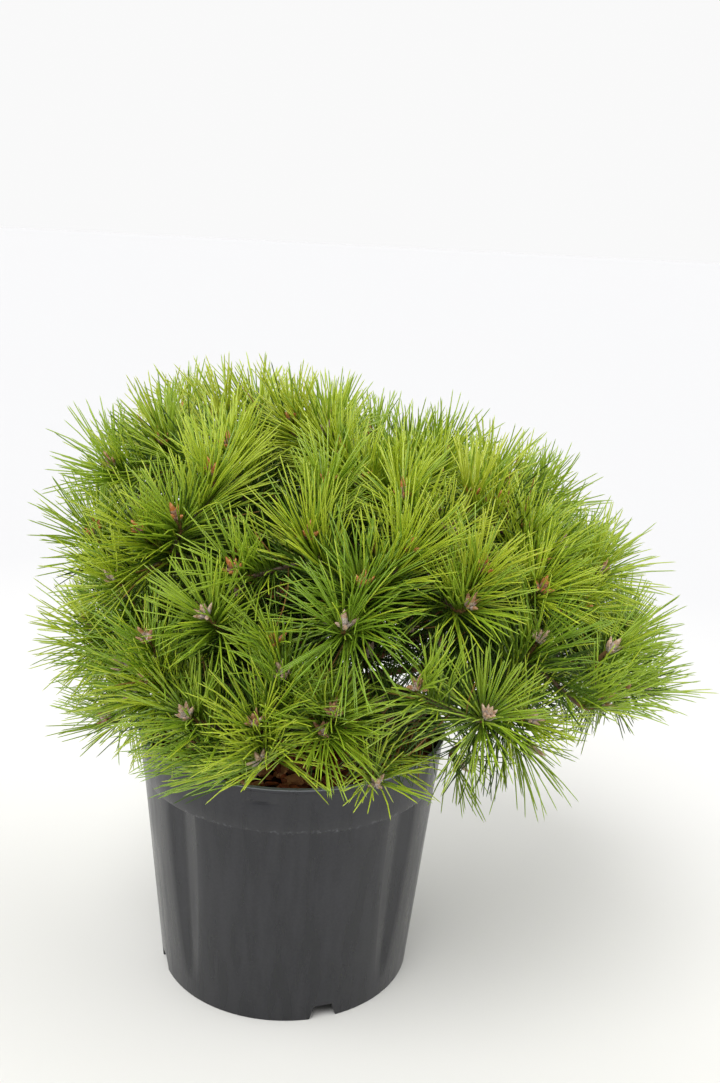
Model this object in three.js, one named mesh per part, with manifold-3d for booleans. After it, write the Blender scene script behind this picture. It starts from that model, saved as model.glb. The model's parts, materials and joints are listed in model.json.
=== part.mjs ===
// A dwarf red pine with a low, domed crown, in a round nursery container.
// Millimetres, +Z up. The origin is the middle of the container's flat underside, and the
// side that faces the viewer is -Y.
import * as THREE from "three";
import { mergeVertices } from "three/addons/utils/BufferGeometryUtils.js";
import Module from "manifold-3d";

const wasm = await Module();
wasm.setup();

const degrees = Math.PI / 180;
const clearance = 0.35; // between two pieces that touch

// Driving dimensions of the container
const pot = {
  height: 268,
  baseRadius: 133,
  rimRadius: 158,
  wall: 2.4,
  sides: 32,
  padRadius: 52, // the round pad in the middle of the floor, level with the foot
  footWidth: 4,
  floorHeight: 12, // the raised floor round the pad
  floorThickness: 2.6,
  collarFrom: 220, // the plain band under the rim starts here
  collarStep: 0.8,
  lipHeight: 5,
  lipProud: 1.2,
};
const notch = { count: 4, first: 18, height: 14, footWidth: 28, topWidth: 19 };
const flute = { count: 4, first: -43, from: 34, topWidth: 54, footWidth: 3, depth: 4, slope: 15 };
const groove = { count: 4, first: -9.5, halfAngle: 7.5, height: 251, width: 2.2, depth: 1 };
const drain = { count: 8, ring: 96, radius: 7 };
const mulch = { edgeLevel: 247, middleLevel: 258, roughness: 3, middleRadius: 26 };

// The crown, measured to its outermost needle tips from a middle point
const crown = {
  middle: new THREE.Vector3(60, 0, 330),
  reach: { right: 356, left: 308, front: 305, back: 320 },
  rise: { right: 294, left: 332, front: 299, back: 299 },
  drop: 300,
  squareness: { right: 2.1, left: 5.8, front: 3.0, back: 2.4 }, // 2 is an ellipse, more is boxier
  dip: 20, // degrees below level that shoots may stand
  room: 20, // and how far their feet keep above the underside
  underside: { right: 226, left: 222, front: 284, back: 225 }, // the height that needles hang down to
  undersideReach: 220, // at this distance from the middle
  undersideRise: 0.55, // for each millimetre further out
  uneven: 44, // how much lower one shoot's needles may hang than another's
};

// Where the crown is open at its lower right: degrees round, degrees wide, and how much its
// underside is raised
const hollow = { azimuth: -42, width: 24, raise: 64 };

// One shoot: a slim core whose three-sided panels are drawn out into needles, with a bud at its end
const shoot = {
  count: 119,
  firstTurn: 0.27, // where round the crown the first shoot stands, as a share of a turn
  turnStep: 0.569840291, // from each shoot to the next round the crown, and in height
  heightStep: 0.7548776662,
  sides: 6,
  rings: [0, 10, 19], // distances along the core
  radii: [4.2, 5.3, 3.9],
  bud: 30,
  length: 74,
  lengthSpread: 0.16,
  leans: [82, 66, 52, 36], // of its rows of needles from the shoot's own direction
  leanSpread: 12,
  leanTries: [1, 0.72, 0.45], // shares of that lean, tried in turn
  tipReach: 72, // from the foot of the core to the crown's outline
  lift: 0.6, // how strongly shoots turn up
  wander: 0.5, // and to any side
  depthSpread: 0.1, // how unevenly they reach the outline
  room: 3.6, // least distance between needles of neighbouring shoots
};

// Shoots that droop below the hollow
const droopers = [
  { azimuth: -28, elevation: -33, share: 0.7, lowest: 180 },
  { azimuth: -30, elevation: -12, share: 0.78, lowest: 232 },
];

const trunk = { footRadius: 17, radius: 12.5, tipRadius: 8, sides: 10, steps: 12, below: 8 };
const trunkLine = new THREE.CatmullRomCurve3([
  new THREE.Vector3(-1, 0, mulch.middleLevel - trunk.below),
  new THREE.Vector3(5, 1, 280),
  new THREE.Vector3(20, -2, 308),
  new THREE.Vector3(36, 0, 348),
]);
const bough = { baseRadius: 4.8, tipRadius: 3.3, sides: 6, steps: 6, lift: 0.35, leave: 0.38, arrive: 0.3 };
const stem = { length: 34, baseRadius: 3.2, tipRadius: 2.4, sides: 5, steps: 3 };
const twig = {
  rootRadius: 1, // at its root, inside the wood that it grows from
  radius: 2.2,
  sides: 3,
  steps: 3,
  bend: 0.3, // how far it keeps to the directions of its two ends
  detour: 0.35, // how much of the way along the wood counts when it picks its root
  arches: [0, 0.2, 0.4],
};
const spaceGap = 0.8; // from a mass to each side of its own space
const shootMargin = 12; // from the middle of a shoot to the same
const limbMargin = 7; // from needles and twigs to the middle of a bough of another mass
const potMargin = 4;

// Each tier is a ring of masses, each at the end of its own bough
const tiers = [
  { name: "low", count: 7, firstAzimuth: -64, elevation: 6, boughReach: 122, from: 0.22, stagger: 0.24 },
  { name: "high", count: 5, firstAzimuth: -90, elevation: 40, boughReach: 112, from: 0.55, stagger: 0.3 },
];

const colours = {
  pot: 0x3a3d40,
  mulch: 0x5b3423,
  bark: 0x6a5140,
  needles: 0x7f9f34,
};

// A repeatable number from 0 to 1 for item k and purpose c
function chance(k, c) {
  const x = Math.sin(k * 12.9898 + c * 78.233) * 43758.5453;
  return x - Math.floor(x);
}

function direction(azimuth, height) {
  const level = Math.sqrt(1 - height * height);
  return new THREE.Vector3(level * Math.cos(azimuth), level * Math.sin(azimuth), height);
}

// Blends four named values round the compass: right is +X and front is -Y
function around(values, azimuth) {
  const c = Math.cos(azimuth);
  const s = Math.sin(azimuth);
  const alongX = c > 0 ? values.right : values.left;
  const alongY = s > 0 ? values.back : values.front;
  return alongX * c * c + alongY * s * s;
}

// How far the crown reaches from its middle in a direction: a superellipse in each upright plane
function crownReach(u) {
  const azimuth = Math.atan2(u.y, u.x);
  const wide = around(crown.reach, azimuth);
  const tall = u.z > 0 ? around(crown.rise, azimuth) : crown.drop;
  const power = u.z > 0 ? around(crown.squareness, azimuth) : 2;
  const level = Math.hypot(u.x, u.y);
  return Math.pow(Math.pow(level / wide, power) + Math.pow(Math.abs(u.z) / tall, power), -1 / power);
}

// The height that needles hang down to: a shallow cone that rises away from the middle, raised
// over the hollow by a bell curve of the azimuth
function undersideAt(point) {
  const from = point.clone().sub(crown.middle);
  const azimuth = Math.atan2(from.y, from.x);
  const beyond = Math.hypot(from.x, from.y) - crown.undersideReach;
  const aside = (azimuth / degrees - hollow.azimuth) / hollow.width;
  const lowest = around(crown.underside, azimuth) + hollow.raise * Math.exp(-aside * aside);
  return lowest + crown.undersideRise * beyond;
}

// Solids and meshes

function solidOf(geometry) {
  const bare = new THREE.BufferGeometry();
  bare.setAttribute("position", geometry.getAttribute("position"));
  bare.setIndex(geometry.getIndex());
  const merged = mergeVertices(bare, 1e-4);
  const made = new wasm.Manifold(
    new wasm.Mesh({
      numProp: 3,
      vertProperties: new Float32Array(merged.getAttribute("position").array),
      triVerts: new Uint32Array(merged.getIndex().array),
    }),
  );
  if (made.volume() < 0) throw new Error("a solid is inside out");
  return made;
}

function geometryOf(solid) {
  const mesh = solid.getMesh();
  const geometry = new THREE.BufferGeometry();
  geometry.setAttribute("position", new THREE.BufferAttribute(new Float32Array(mesh.vertProperties), 3));
  geometry.setIndex(new THREE.BufferAttribute(new Uint32Array(mesh.triVerts), 1));
  return geometry;
}

function meshGeometry(points, triangles) {
  const geometry = new THREE.BufferGeometry().setFromPoints(points);
  geometry.setIndex(triangles);
  return geometry;
}

// The one connected body of a union: loose scraps are dropped, sealed hollows filled, and the
// tiny edges that joining leaves are closed up
function largestBody(solid) {
  const tinyEdge = 0.01;
  const bodies = solid.simplify(tinyEdge).decompose();
  return bodies.reduce((best, body) => (body.volume() > best.volume() ? body : best));
}

// A profile of [radius, height] pairs, turned about Z. It runs out along the foot, up, and in
function lathe(profile, sides) {
  const points = profile.map(([radius, height]) => new THREE.Vector2(radius, height));
  return new THREE.LatheGeometry(points, sides).rotateX(Math.PI / 2);
}

// A closed tapering tube along a curve
function limb(curve, radiusAt, sides, steps) {
  const frames = curve.computeFrenetFrames(steps, false);
  const points = [];
  const triangles = [];
  for (let i = 0; i <= steps; i++) {
    const middle = curve.getPointAt(i / steps);
    const radius = radiusAt(i / steps);
    for (let j = 0; j < sides; j++) {
      const angle = (2 * Math.PI * j) / sides;
      points.push(
        middle
          .clone()
          .addScaledVector(frames.normals[i], radius * Math.cos(angle))
          .addScaledVector(frames.binormals[i], radius * Math.sin(angle)),
      );
    }
  }
  for (let i = 0; i < steps; i++) {
    for (let j = 0; j < sides; j++) {
      const a = i * sides + j;
      const b = i * sides + ((j + 1) % sides);
      triangles.push(a, b, b + sides, a, b + sides, a + sides);
    }
  }
  const last = steps * sides;
  for (let j = 1; j < sides - 1; j++) {
    triangles.push(0, j + 1, j, last, last + j, last + j + 1);
  }
  return meshGeometry(points, triangles);
}

// A solid between two four-cornered outlines, each anticlockwise from above
function block(lower, upper) {
  const triangles = [0, 2, 1, 0, 3, 2, 4, 5, 6, 4, 6, 7];
  for (let j = 0; j < 4; j++) {
    const k = (j + 1) % 4;
    triangles.push(j, k, k + 4, j, k + 4, j + 4);
  }
  return meshGeometry([...lower, ...upper], triangles);
}

function turned(geometry, angle) {
  return geometry.clone().rotateZ(angle);
}

// The container

const wallSlope = (pot.rimRadius - pot.baseRadius) / pot.height;
const wallRadius = (height) => pot.baseRadius + wallSlope * height;

// Tapering recesses with sloping sides in the wall. A larger inset follows the wall's inner face
function fluteCutters(inset) {
  const outside = 12; // how far the cutters stand out of the wall
  const outline = (height, width, depth) => {
    const inner = wallRadius(height) - depth - inset;
    const half = width / 2 + inset;
    return [
      new THREE.Vector3(inner, -half + flute.slope, height),
      new THREE.Vector3(inner + outside, -half - outside, height),
      new THREE.Vector3(inner + outside, half + outside, height),
      new THREE.Vector3(inner, half - flute.slope, height),
    ];
  };
  const lower = outline(flute.from - inset, flute.footWidth + 2 * flute.slope, -1);
  const upper = outline(pot.collarFrom + inset, flute.topWidth, flute.depth);
  const one = block(lower, upper);
  const cutters = [];
  for (let i = 0; i < flute.count; i++) {
    const azimuth = flute.first - 90 + (360 * i) / flute.count;
    cutters.push(solidOf(turned(one, azimuth * degrees)));
  }
  return cutters;
}

function notchCutters() {
  const near = 0.75 * pot.baseRadius;
  const far = 1.1 * pot.baseRadius;
  const outline = (height, width) => [
    new THREE.Vector3(near, -width / 2, height),
    new THREE.Vector3(far, -width / 2, height),
    new THREE.Vector3(far, width / 2, height),
    new THREE.Vector3(near, width / 2, height),
  ];
  const below = 2;
  const one = block(outline(-below, notch.footWidth), outline(notch.height, notch.topWidth));
  const cutters = [];
  for (let i = 0; i < notch.count; i++) {
    cutters.push(solidOf(turned(one, (notch.first - 90 + (360 * i) / notch.count) * degrees)));
  }
  return cutters;
}

// A short slot line pressed into the collar under the lip
function grooveCutters() {
  const inner = wallRadius(groove.height) + pot.collarStep - groove.depth;
  const cutters = [];
  for (let i = 0; i < groove.count; i++) {
    const middle = (groove.first - 90 + (360 * i) / groove.count) * degrees;
    const start = middle - groove.halfAngle * degrees;
    const end = middle + groove.halfAngle * degrees;
    const outline = new THREE.Shape();
    outline.absarc(0, 0, inner + 6, start, end, false);
    outline.absarc(0, 0, inner, end, start, true);
    outline.closePath();
    const ring = new THREE.ExtrudeGeometry(outline, {
      depth: groove.width,
      bevelEnabled: false,
      curveSegments: 4,
    });
    cutters.push(solidOf(ring.translate(0, 0, groove.height - groove.width / 2)));
  }
  return cutters;
}

function drainCutters() {
  const sides = 10;
  const cutters = [];
  for (let i = 0; i < drain.count; i++) {
    const azimuth = (2 * Math.PI * (i + 0.5)) / drain.count;
    const hole = new THREE.CylinderGeometry(drain.radius, drain.radius, 3 * pot.floorHeight, sides);
    hole.rotateX(Math.PI / 2);
    hole.translate(drain.ring * Math.cos(azimuth), drain.ring * Math.sin(azimuth), pot.floorHeight);
    cutters.push(solidOf(hole));
  }
  return cutters;
}

function makePot() {
  const collar = pot.collarStep;
  const lipFrom = pot.height - pot.lipHeight;
  const outer = lathe(
    [
      [0, 0],
      [pot.padRadius, 0],
      [pot.padRadius + 4, pot.floorHeight],
      [pot.baseRadius - pot.footWidth - 1, pot.floorHeight],
      [pot.baseRadius - pot.footWidth, 0],
      [pot.baseRadius, 0],
      [wallRadius(pot.collarFrom), pot.collarFrom],
      [wallRadius(pot.collarFrom) + collar, pot.collarFrom + 2 * collar],
      [wallRadius(lipFrom) + collar, lipFrom],
      [wallRadius(lipFrom) + collar + pot.lipProud, lipFrom + 1],
      [wallRadius(lipFrom) + collar + pot.lipProud, pot.height - 1],
      [pot.rimRadius, pot.height],
      [0, pot.height],
    ],
    pot.sides,
  );
  const floorTop = pot.floorHeight + pot.floorThickness;
  const inner = lathe(
    [
      [0, pot.floorThickness],
      [pot.padRadius - 1, pot.floorThickness],
      [pot.padRadius + 3, floorTop],
      [wallRadius(floorTop) - pot.wall, floorTop],
      [pot.rimRadius - pot.wall, pot.height],
      [pot.rimRadius - pot.wall, pot.height + 5],
      [0, pot.height + 5],
    ],
    pot.sides,
  );
  const shape = wasm.Manifold.difference([solidOf(outer), ...fluteCutters(0), ...notchCutters()]);
  const hollow = wasm.Manifold.difference([solidOf(inner), ...fluteCutters(pot.wall)]);
  return wasm.Manifold.difference([shape, hollow, ...grooveCutters(), ...drainCutters()]);
}

// The root ball with its layer of bark chips, which fills the container to below the rim
function makeMulch() {
  const gap = pot.wall + clearance;
  const floorTop = pot.floorHeight + pot.floorThickness + clearance;
  const fall = (radius) => {
    const outward = (radius - mulch.middleRadius) / (wallRadius(mulch.edgeLevel) - mulch.middleRadius);
    return mulch.middleLevel - (mulch.middleLevel - mulch.edgeLevel) * outward * outward;
  };
  const profile = [
    [0, pot.floorThickness + clearance],
    [pot.padRadius - 1 - clearance, pot.floorThickness + clearance],
    [pot.padRadius + 3 - clearance, floorTop],
    [wallRadius(floorTop) - gap, floorTop],
    [wallRadius(mulch.edgeLevel) - gap, mulch.edgeLevel],
    ...[130, 105, 78, 52].map((radius) => [radius, fall(radius)]),
    [mulch.middleRadius, mulch.middleLevel],
    [0, mulch.middleLevel],
  ];
  const turnedProfile = lathe(profile, pot.sides).deleteAttribute("uv").deleteAttribute("normal");
  const geometry = mergeVertices(turnedProfile, 1e-3);
  const position = geometry.getAttribute("position");
  for (let i = 0; i < position.count; i++) {
    const radius = Math.hypot(position.getX(i), position.getY(i));
    const onTop = position.getZ(i) > mulch.edgeLevel && radius > mulch.middleRadius + 1;
    if (onTop) position.setZ(i, position.getZ(i) + mulch.roughness * (2 * chance(i, 1) - 1));
  }
  return wasm.Manifold.difference([solidOf(geometry), ...fluteCutters(gap)]);
}

// True where a point stands clear of the container and what fills it
function clearOfPot(point, margin) {
  const radius = Math.hypot(point.x, point.y);
  if (point.z > pot.height + margin) return true;
  const outside = wallRadius(Math.max(point.z, 0)) + pot.collarStep + pot.lipProud + margin;
  return radius > outside && point.z > margin;
}

// Trunk and boughs

// The trunk tapers evenly, and flares where its roots begin
function trunkRadius(t) {
  const flare = (trunk.footRadius - trunk.radius) * Math.exp(-t * 14);
  return trunk.radius + (trunk.tipRadius - trunk.radius) * t + flare;
}

// Where each mass of foliage lies, and the line of the bough that carries it. The trunk's own
// tip carries the top one
function makeMasses() {
  const evenly = 0.618;
  const masses = [];
  for (const tier of tiers) {
    for (let i = 0; i < tier.count; i++) {
      const azimuth = (tier.firstAzimuth + (360 * i) / tier.count) * degrees;
      const axis = direction(azimuth, Math.sin(tier.elevation * degrees));
      const tip = crown.middle.clone().addScaledVector(axis, tier.boughReach);
      const start = trunkLine.getPointAt(tier.from + tier.stagger * ((evenly * i) % 1));
      masses.push({ name: `${tier.name}_${i + 1}`, axis, line: boughLine(start, tip, axis) });
    }
  }
  masses.push({ name: "top", axis: direction(0, 1), line: null });
  return masses;
}

// A bough leaves the trunk outwards and a little up, then bends towards its mass
function boughLine(start, tip, axis) {
  const span = start.distanceTo(tip);
  const leave = tip.clone().sub(start).normalize();
  leave.z = Math.max(leave.z, 0) + bough.lift;
  leave.normalize();
  return new THREE.CubicBezierCurve3(
    start,
    start.clone().addScaledVector(leave, bough.leave * span),
    tip.clone().addScaledVector(axis, -bough.arrive * span),
    tip,
  );
}

// The trunk is cut flat where it stands on the bark chips
function makeTrunk(grown) {
  const whole = solidOf(limb(trunkLine, (t) => trunkRadius(t) + grown, trunk.sides, trunk.steps));
  const ground = new THREE.BoxGeometry(pot.baseRadius, pot.baseRadius, mulch.middleLevel);
  ground.translate(0, 0, mulch.middleLevel / 2 + clearance - grown);
  return whole.subtract(solidOf(ground));
}

function makeBough(mass, trunkSpace) {
  const radiusAt = (t) => bough.baseRadius + (bough.tipRadius - bough.baseRadius) * t;
  const whole = solidOf(limb(mass.line, radiusAt, bough.sides, bough.steps));
  return largestBody(whole.subtract(trunkSpace));
}

// Foliage

// Shoots spread over the crown by a sequence that stays even however far it is carried, and those
// with no room for their needles above the underside are passed over
function makeShoots() {
  const found = [];
  const lowest = -Math.sin(crown.dip * degrees);
  for (let k = 1; found.length < shoot.count; k++) {
    const azimuth = 2 * Math.PI * ((shoot.firstTurn + k * shoot.turnStep) % 1);
    const height = 1 - (1 - lowest) * ((k * shoot.heightStep) % 1);
    const outward = direction(azimuth, height);
    const turn = new THREE.Vector3(chance(k, 2) - 0.5, chance(k, 3) - 0.5, chance(k, 4) - 0.5);
    const axis = outward.clone();
    axis.z += shoot.lift;
    axis.addScaledVector(turn, shoot.wander).normalize();
    const reach = crownReach(outward) * (1 - shoot.depthSpread * chance(k, 5));
    const end = crown.middle.clone().addScaledVector(outward, reach);
    const foot = end.addScaledVector(axis, -shoot.tipReach);
    if (foot.z < undersideAt(foot) + crown.room) continue;
    const hang = crown.uneven * (chance(k, 6) - 0.5);
    found.push({ number: k, axis, foot, lowestAt: (tip) => undersideAt(tip) + hang });
  }
  droopers.forEach((drooper, i) => {
    const axis = direction(drooper.azimuth * degrees, Math.sin(drooper.elevation * degrees));
    const reach = crownReach(axis) * drooper.share;
    const foot = crown.middle.clone().addScaledVector(axis, reach - shoot.tipReach);
    found.push({ number: 1000 + i, axis, foot, lowestAt: () => drooper.lowest });
  });
  return found;
}

// The space of each mass is the cone of points nearer to its own axis than to any other
function spacesOf(masses) {
  return masses.map((mass) => {
    const sides = masses
      .filter((other) => other !== mass)
      .map((other) => mass.axis.clone().sub(other.axis).normalize());
    const depth = (point) => {
      const from = point.clone().sub(crown.middle);
      return Math.min(...sides.map((side) => side.dot(from)));
    };
    const nudge = (point, margin) => {
      const from = point.clone().sub(crown.middle);
      for (const side of sides) {
        const short = margin - side.dot(from);
        if (short > 0) from.addScaledVector(side, short);
      }
      return from.add(crown.middle);
    };
    return { depth, nudge };
  });
}

// The least distance between two straight stretches, a to b and c to d
function segmentDistance(a, b, c, d) {
  const u = b.clone().sub(a);
  const v = d.clone().sub(c);
  const w = a.clone().sub(c);
  const uu = u.dot(u);
  const uv = u.dot(v);
  const vv = v.dot(v);
  const spread = uu * vv - uv * uv;
  const s = spread < 1e-9 ? 0 : THREE.MathUtils.clamp((uv * v.dot(w) - vv * u.dot(w)) / spread, 0, 1);
  const t = THREE.MathUtils.clamp((uv * s + v.dot(w)) / vv, 0, 1);
  const again = THREE.MathUtils.clamp((uv * t - u.dot(w)) / uu, 0, 1);
  return a.clone().addScaledVector(u, again).distanceTo(c.clone().addScaledVector(v, t));
}

function stretches(line, count) {
  const points = line.getSpacedPoints(count);
  return points.slice(1).map((point, i) => [points[i], point]);
}

const nearest = (a, b, segments) => Math.min(...segments.map(([c, d]) => segmentDistance(a, b, c, d)));

// A twig grows from the nearest of the branching points so far. It takes the first of three
// ways, each more arched, that stays in its own space, and is skipped if none does
function twigLine(item, nodes, space, limbs) {
  const cost = (node) => item.foot.distanceTo(node.point) + twig.detour * node.path;
  const forward = (node) => item.foot.clone().sub(node.point).normalize().dot(node.along) > 0.05;
  const parent = nodes.filter(forward).sort((a, b) => cost(a) - cost(b))[0] ?? nodes[1];
  const span = item.foot.distanceTo(parent.point);
  for (const arch of twig.arches) {
    const leave = parent.point.clone().addScaledVector(parent.along, twig.bend * span);
    const arrive = item.foot.clone().addScaledVector(item.axis, -twig.bend * span);
    leave.z += arch * span;
    arrive.z += arch * span;
    const line = new THREE.CubicBezierCurve3(parent.point, leave, arrive, item.foot);
    const room = (point) => space.depth(point) > spaceGap + twig.radius && clearOfPot(point, potMargin);
    if (!line.getPoints(12).every(room)) continue;
    if (stretches(line, 6).some(([a, b]) => nearest(a, b, limbs) < limbMargin)) continue;
    for (let i = 1; i < twig.steps; i++) {
      const t = i / twig.steps;
      nodes.push({ point: line.getPointAt(t), along: line.getTangentAt(t), path: parent.path + t * span });
    }
    return line;
  }
  return null;
}

// A needle that would leave its mass's space, hang too low, or touch the pot, a limb, a twig or
// another shoot's needle is turned towards the shoot's own direction, and skipped if it still would
function needleTip(item, base, side, lean, length, space, limbs, taken) {
  for (const share of shoot.leanTries) {
    const tip = base
      .clone()
      .addScaledVector(item.axis, length * Math.cos(lean * share))
      .addScaledVector(side, length * Math.sin(lean * share));
    const inside = space.depth(tip) > spaceGap && tip.z > item.lowestAt(tip);
    const clear = [0.4, 0.7, 1].every((t) => clearOfPot(base.clone().lerp(tip, t), potMargin));
    if (!inside || !clear || nearest(base, tip, limbs) < limbMargin) continue;
    const others = taken.filter((own) => own.number !== item.number);
    if (others.every(({ ends: [a, b] }) => segmentDistance(base, tip, a, b) > shoot.room)) return tip;
  }
  return null;
}

// One twig with its shoot: a three-sided tube that widens into the core. The core's rings stand
// half a step apart, so that the band between two of them is a row of upright and a row of
// upturned three-sided panels, and each panel is the root of one needle
function makeSprig(item, line, space, limbs, taken) {
  const frames = line.computeFrenetFrames(twig.steps, false);
  const points = [];
  const triangles = [];
  const ring = (middle, along, across, radius, sides, phase) => {
    const other = along.clone().cross(across).normalize();
    for (let j = 0; j < sides; j++) {
      const angle = phase + (2 * Math.PI * j) / sides;
      points.push(
        middle
          .clone()
          .addScaledVector(across, radius * Math.cos(angle))
          .addScaledVector(other, radius * Math.sin(angle)),
      );
    }
    return points.length - sides;
  };
  let lower = 0;
  for (let i = 0; i < twig.steps; i++) {
    const radius = i === 0 ? twig.rootRadius : twig.radius;
    const middle = line.getPointAt(i / twig.steps);
    const upper = ring(middle, frames.tangents[i], frames.normals[i], radius, twig.sides, 0);
    if (i === 0) triangles.push(0, 2, 1);
    for (let j = 0; i > 0 && j < twig.sides; j++) {
      const k = (j + 1) % twig.sides;
      triangles.push(lower + j, lower + k, upper + k, lower + j, upper + k, upper + j);
    }
    lower = upper;
  }
  const across = frames.normals[twig.steps].clone().projectOnPlane(item.axis).normalize();
  const rings = shoot.rings.map((along, i) => {
    const middle = item.foot.clone().addScaledVector(item.axis, along);
    return ring(middle, item.axis, across, shoot.radii[i], shoot.sides, (i * Math.PI) / shoot.sides);
  });
  for (let j = 0; j < twig.sides; j++) {
    const k = lower + ((j + 1) % twig.sides);
    const [first, middle, last] = [2 * j, 2 * j + 1, (2 * j + 2) % shoot.sides].map((n) => rings[0] + n);
    triangles.push(lower + j, middle, first, lower + j, k, middle, k, last, middle);
  }
  for (let i = 0; i + 1 < rings.length; i++) {
    for (let j = 0; j < shoot.sides; j++) {
      const k = (j + 1) % shoot.sides;
      const [a, b] = [rings[i] + j, rings[i] + k];
      const [c, d] = [rings[i + 1] + j, rings[i + 1] + k];
      drawNeedle([a, b, c], 2 * i, j);
      drawNeedle([b, d, c], 2 * i + 1, j);
    }
  }
  points.push(item.foot.clone().addScaledVector(item.axis, shoot.bud));
  for (let j = 0; j < shoot.sides; j++) {
    triangles.push(rings.at(-1) + j, rings.at(-1) + ((j + 1) % shoot.sides), points.length - 1);
  }
  return solidOf(meshGeometry(points, triangles));

  function drawNeedle(panel, row, j) {
    const number = item.number * 53 + row * shoot.sides + j;
    const base = panel.reduce((sum, p) => sum.addScaledVector(points[p], 1 / 3), new THREE.Vector3());
    const side = base.clone().sub(item.foot).projectOnPlane(item.axis).normalize();
    const lean = (shoot.leans[row] + shoot.leanSpread * (chance(number, 7) - 0.5)) * degrees;
    const length = shoot.length * (1 + shoot.lengthSpread * (chance(number, 8) - 0.5));
    const tip = needleTip(item, base, side, lean, length, space, limbs, taken);
    if (!tip) {
      triangles.push(...panel);
      return;
    }
    taken.push({ number: item.number, ends: [base, tip] });
    points.push(tip);
    panel.forEach((p, n) => triangles.push(p, panel[(n + 1) % 3], points.length - 1));
  }
}

// One mass: a stem that carries on from its bough, twigs that branch from it, nearest first, and
// a shoot on each of them
function makeFoliage(mass, space, shoots, limbs) {
  const parent = mass.line ?? trunkLine;
  const toward = parent.getTangentAt(1);
  const start = parent.getPointAt(1).addScaledVector(toward, clearance);
  const bend = start.clone().addScaledVector(toward, stem.length / 2);
  const hub = bend.clone().addScaledVector(mass.axis, stem.length / 2);
  const stemLine = new THREE.QuadraticBezierCurve3(start, bend, hub);
  const stemRadius = (t) => stem.baseRadius + (stem.tipRadius - stem.baseRadius) * t;
  const parts = [solidOf(limb(stemLine, stemRadius, stem.sides, stem.steps))];
  const nodes = [0.6, 0.95].map((t) => ({
    point: stemLine.getPointAt(t),
    along: stemLine.getTangentAt(t),
    path: t * stem.length,
  }));
  const twigs = shoots
    .map((item) => ({ ...item, foot: space.nudge(item.foot, shootMargin) }))
    .sort((a, b) => a.foot.distanceTo(hub) - b.foot.distanceTo(hub))
    .map((item) => ({ item, line: twigLine(item, nodes, space, limbs) }))
    .filter(({ line }) => line);
  const taken = twigs.flatMap(({ line }) => stretches(line, 6).slice(0, -1).map((ends) => ({ ends })));
  for (const { item, line } of twigs) parts.push(makeSprig(item, line, space, limbs, taken));
  return largestBody(wasm.Manifold.union(parts));
}

// Assembly

const group = new THREE.Group();

function add(name, solid, colour, roughness) {
  const material = new THREE.MeshStandardMaterial({ color: colour, roughness, metalness: 0 });
  const mesh = new THREE.Mesh(geometryOf(solid), material);
  mesh.name = name;
  group.add(mesh);
}

add("pot", makePot(), colours.pot, 0.4);
add("growing_medium", makeMulch(), colours.mulch, 0.95);
add("trunk", makeTrunk(0), colours.bark, 0.9);

const masses = makeMasses();
const spaces = spacesOf(masses);
const trunkSpace = makeTrunk(clearance);
const shoots = makeShoots();
const limbsOf = masses.map((mass) => stretches(mass.line ?? trunkLine, 6));
masses.forEach((mass, i) => {
  if (mass.line) add(`bough_${mass.name}`, makeBough(mass, trunkSpace), colours.bark, 0.9);
  const own = shoots.filter((item) => spaces[i].depth(item.foot) >= 0);
  const limbs = limbsOf.filter((_, j) => j !== i).flat();
  add(`needles_${mass.name}`, makeFoliage(mass, spaces[i], own, limbs), colours.needles, 0.5);
});

export default group;
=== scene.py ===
import json

import bpy
import numpy as np
from mathutils import Matrix

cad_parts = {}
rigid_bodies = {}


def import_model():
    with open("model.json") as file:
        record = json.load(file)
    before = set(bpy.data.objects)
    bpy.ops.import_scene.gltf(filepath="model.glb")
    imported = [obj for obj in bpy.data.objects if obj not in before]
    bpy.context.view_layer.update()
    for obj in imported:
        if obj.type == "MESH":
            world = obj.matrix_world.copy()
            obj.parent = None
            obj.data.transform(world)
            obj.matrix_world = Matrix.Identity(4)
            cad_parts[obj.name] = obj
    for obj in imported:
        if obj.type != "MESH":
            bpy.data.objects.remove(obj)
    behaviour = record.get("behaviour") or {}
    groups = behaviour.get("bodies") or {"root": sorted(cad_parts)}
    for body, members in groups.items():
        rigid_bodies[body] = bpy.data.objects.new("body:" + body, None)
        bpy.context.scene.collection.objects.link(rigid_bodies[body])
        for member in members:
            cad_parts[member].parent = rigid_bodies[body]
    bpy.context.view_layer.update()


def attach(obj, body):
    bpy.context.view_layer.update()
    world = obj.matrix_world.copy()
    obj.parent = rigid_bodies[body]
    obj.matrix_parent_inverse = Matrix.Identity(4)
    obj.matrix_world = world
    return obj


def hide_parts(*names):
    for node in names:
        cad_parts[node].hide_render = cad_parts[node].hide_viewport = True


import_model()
print("frame loaded")

# All sizes are millimetres, angles are degrees, and makePiece turns points into metres.
# A part of a mesh is (points, groups), and a group is (rows of corner numbers, material number).


# Small helpers for vectors and lines

upward = np.array([0, 0, 1.0])


def unit(v):
    return v / np.linalg.norm(v, axis=-1, keepdims=True)


def dot(a, b):
    return (a * b).sum(-1)


# What is left of v across the unit direction n, made a unit vector again
def across(v, n):
    return unit(v - dot(v, n)[..., None] * n)


# Any direction square to n: n crossed with whichever of X and Z it leans on least
def anySide(n):
    other = np.where(np.abs(n[..., 2:]) < 0.8, [0.0, 0.0, 1.0], [1.0, 0.0, 0.0])
    return unit(np.cross(n, other))


# The direction at an angle from first towards second
def between(first, second, angle):
    return np.cos(angle)[..., None] * first + np.sin(angle)[..., None] * second


# The angles of so many even steps round a circle
def evenTurns(count):
    return 2 * np.pi * np.arange(count) / count


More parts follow.
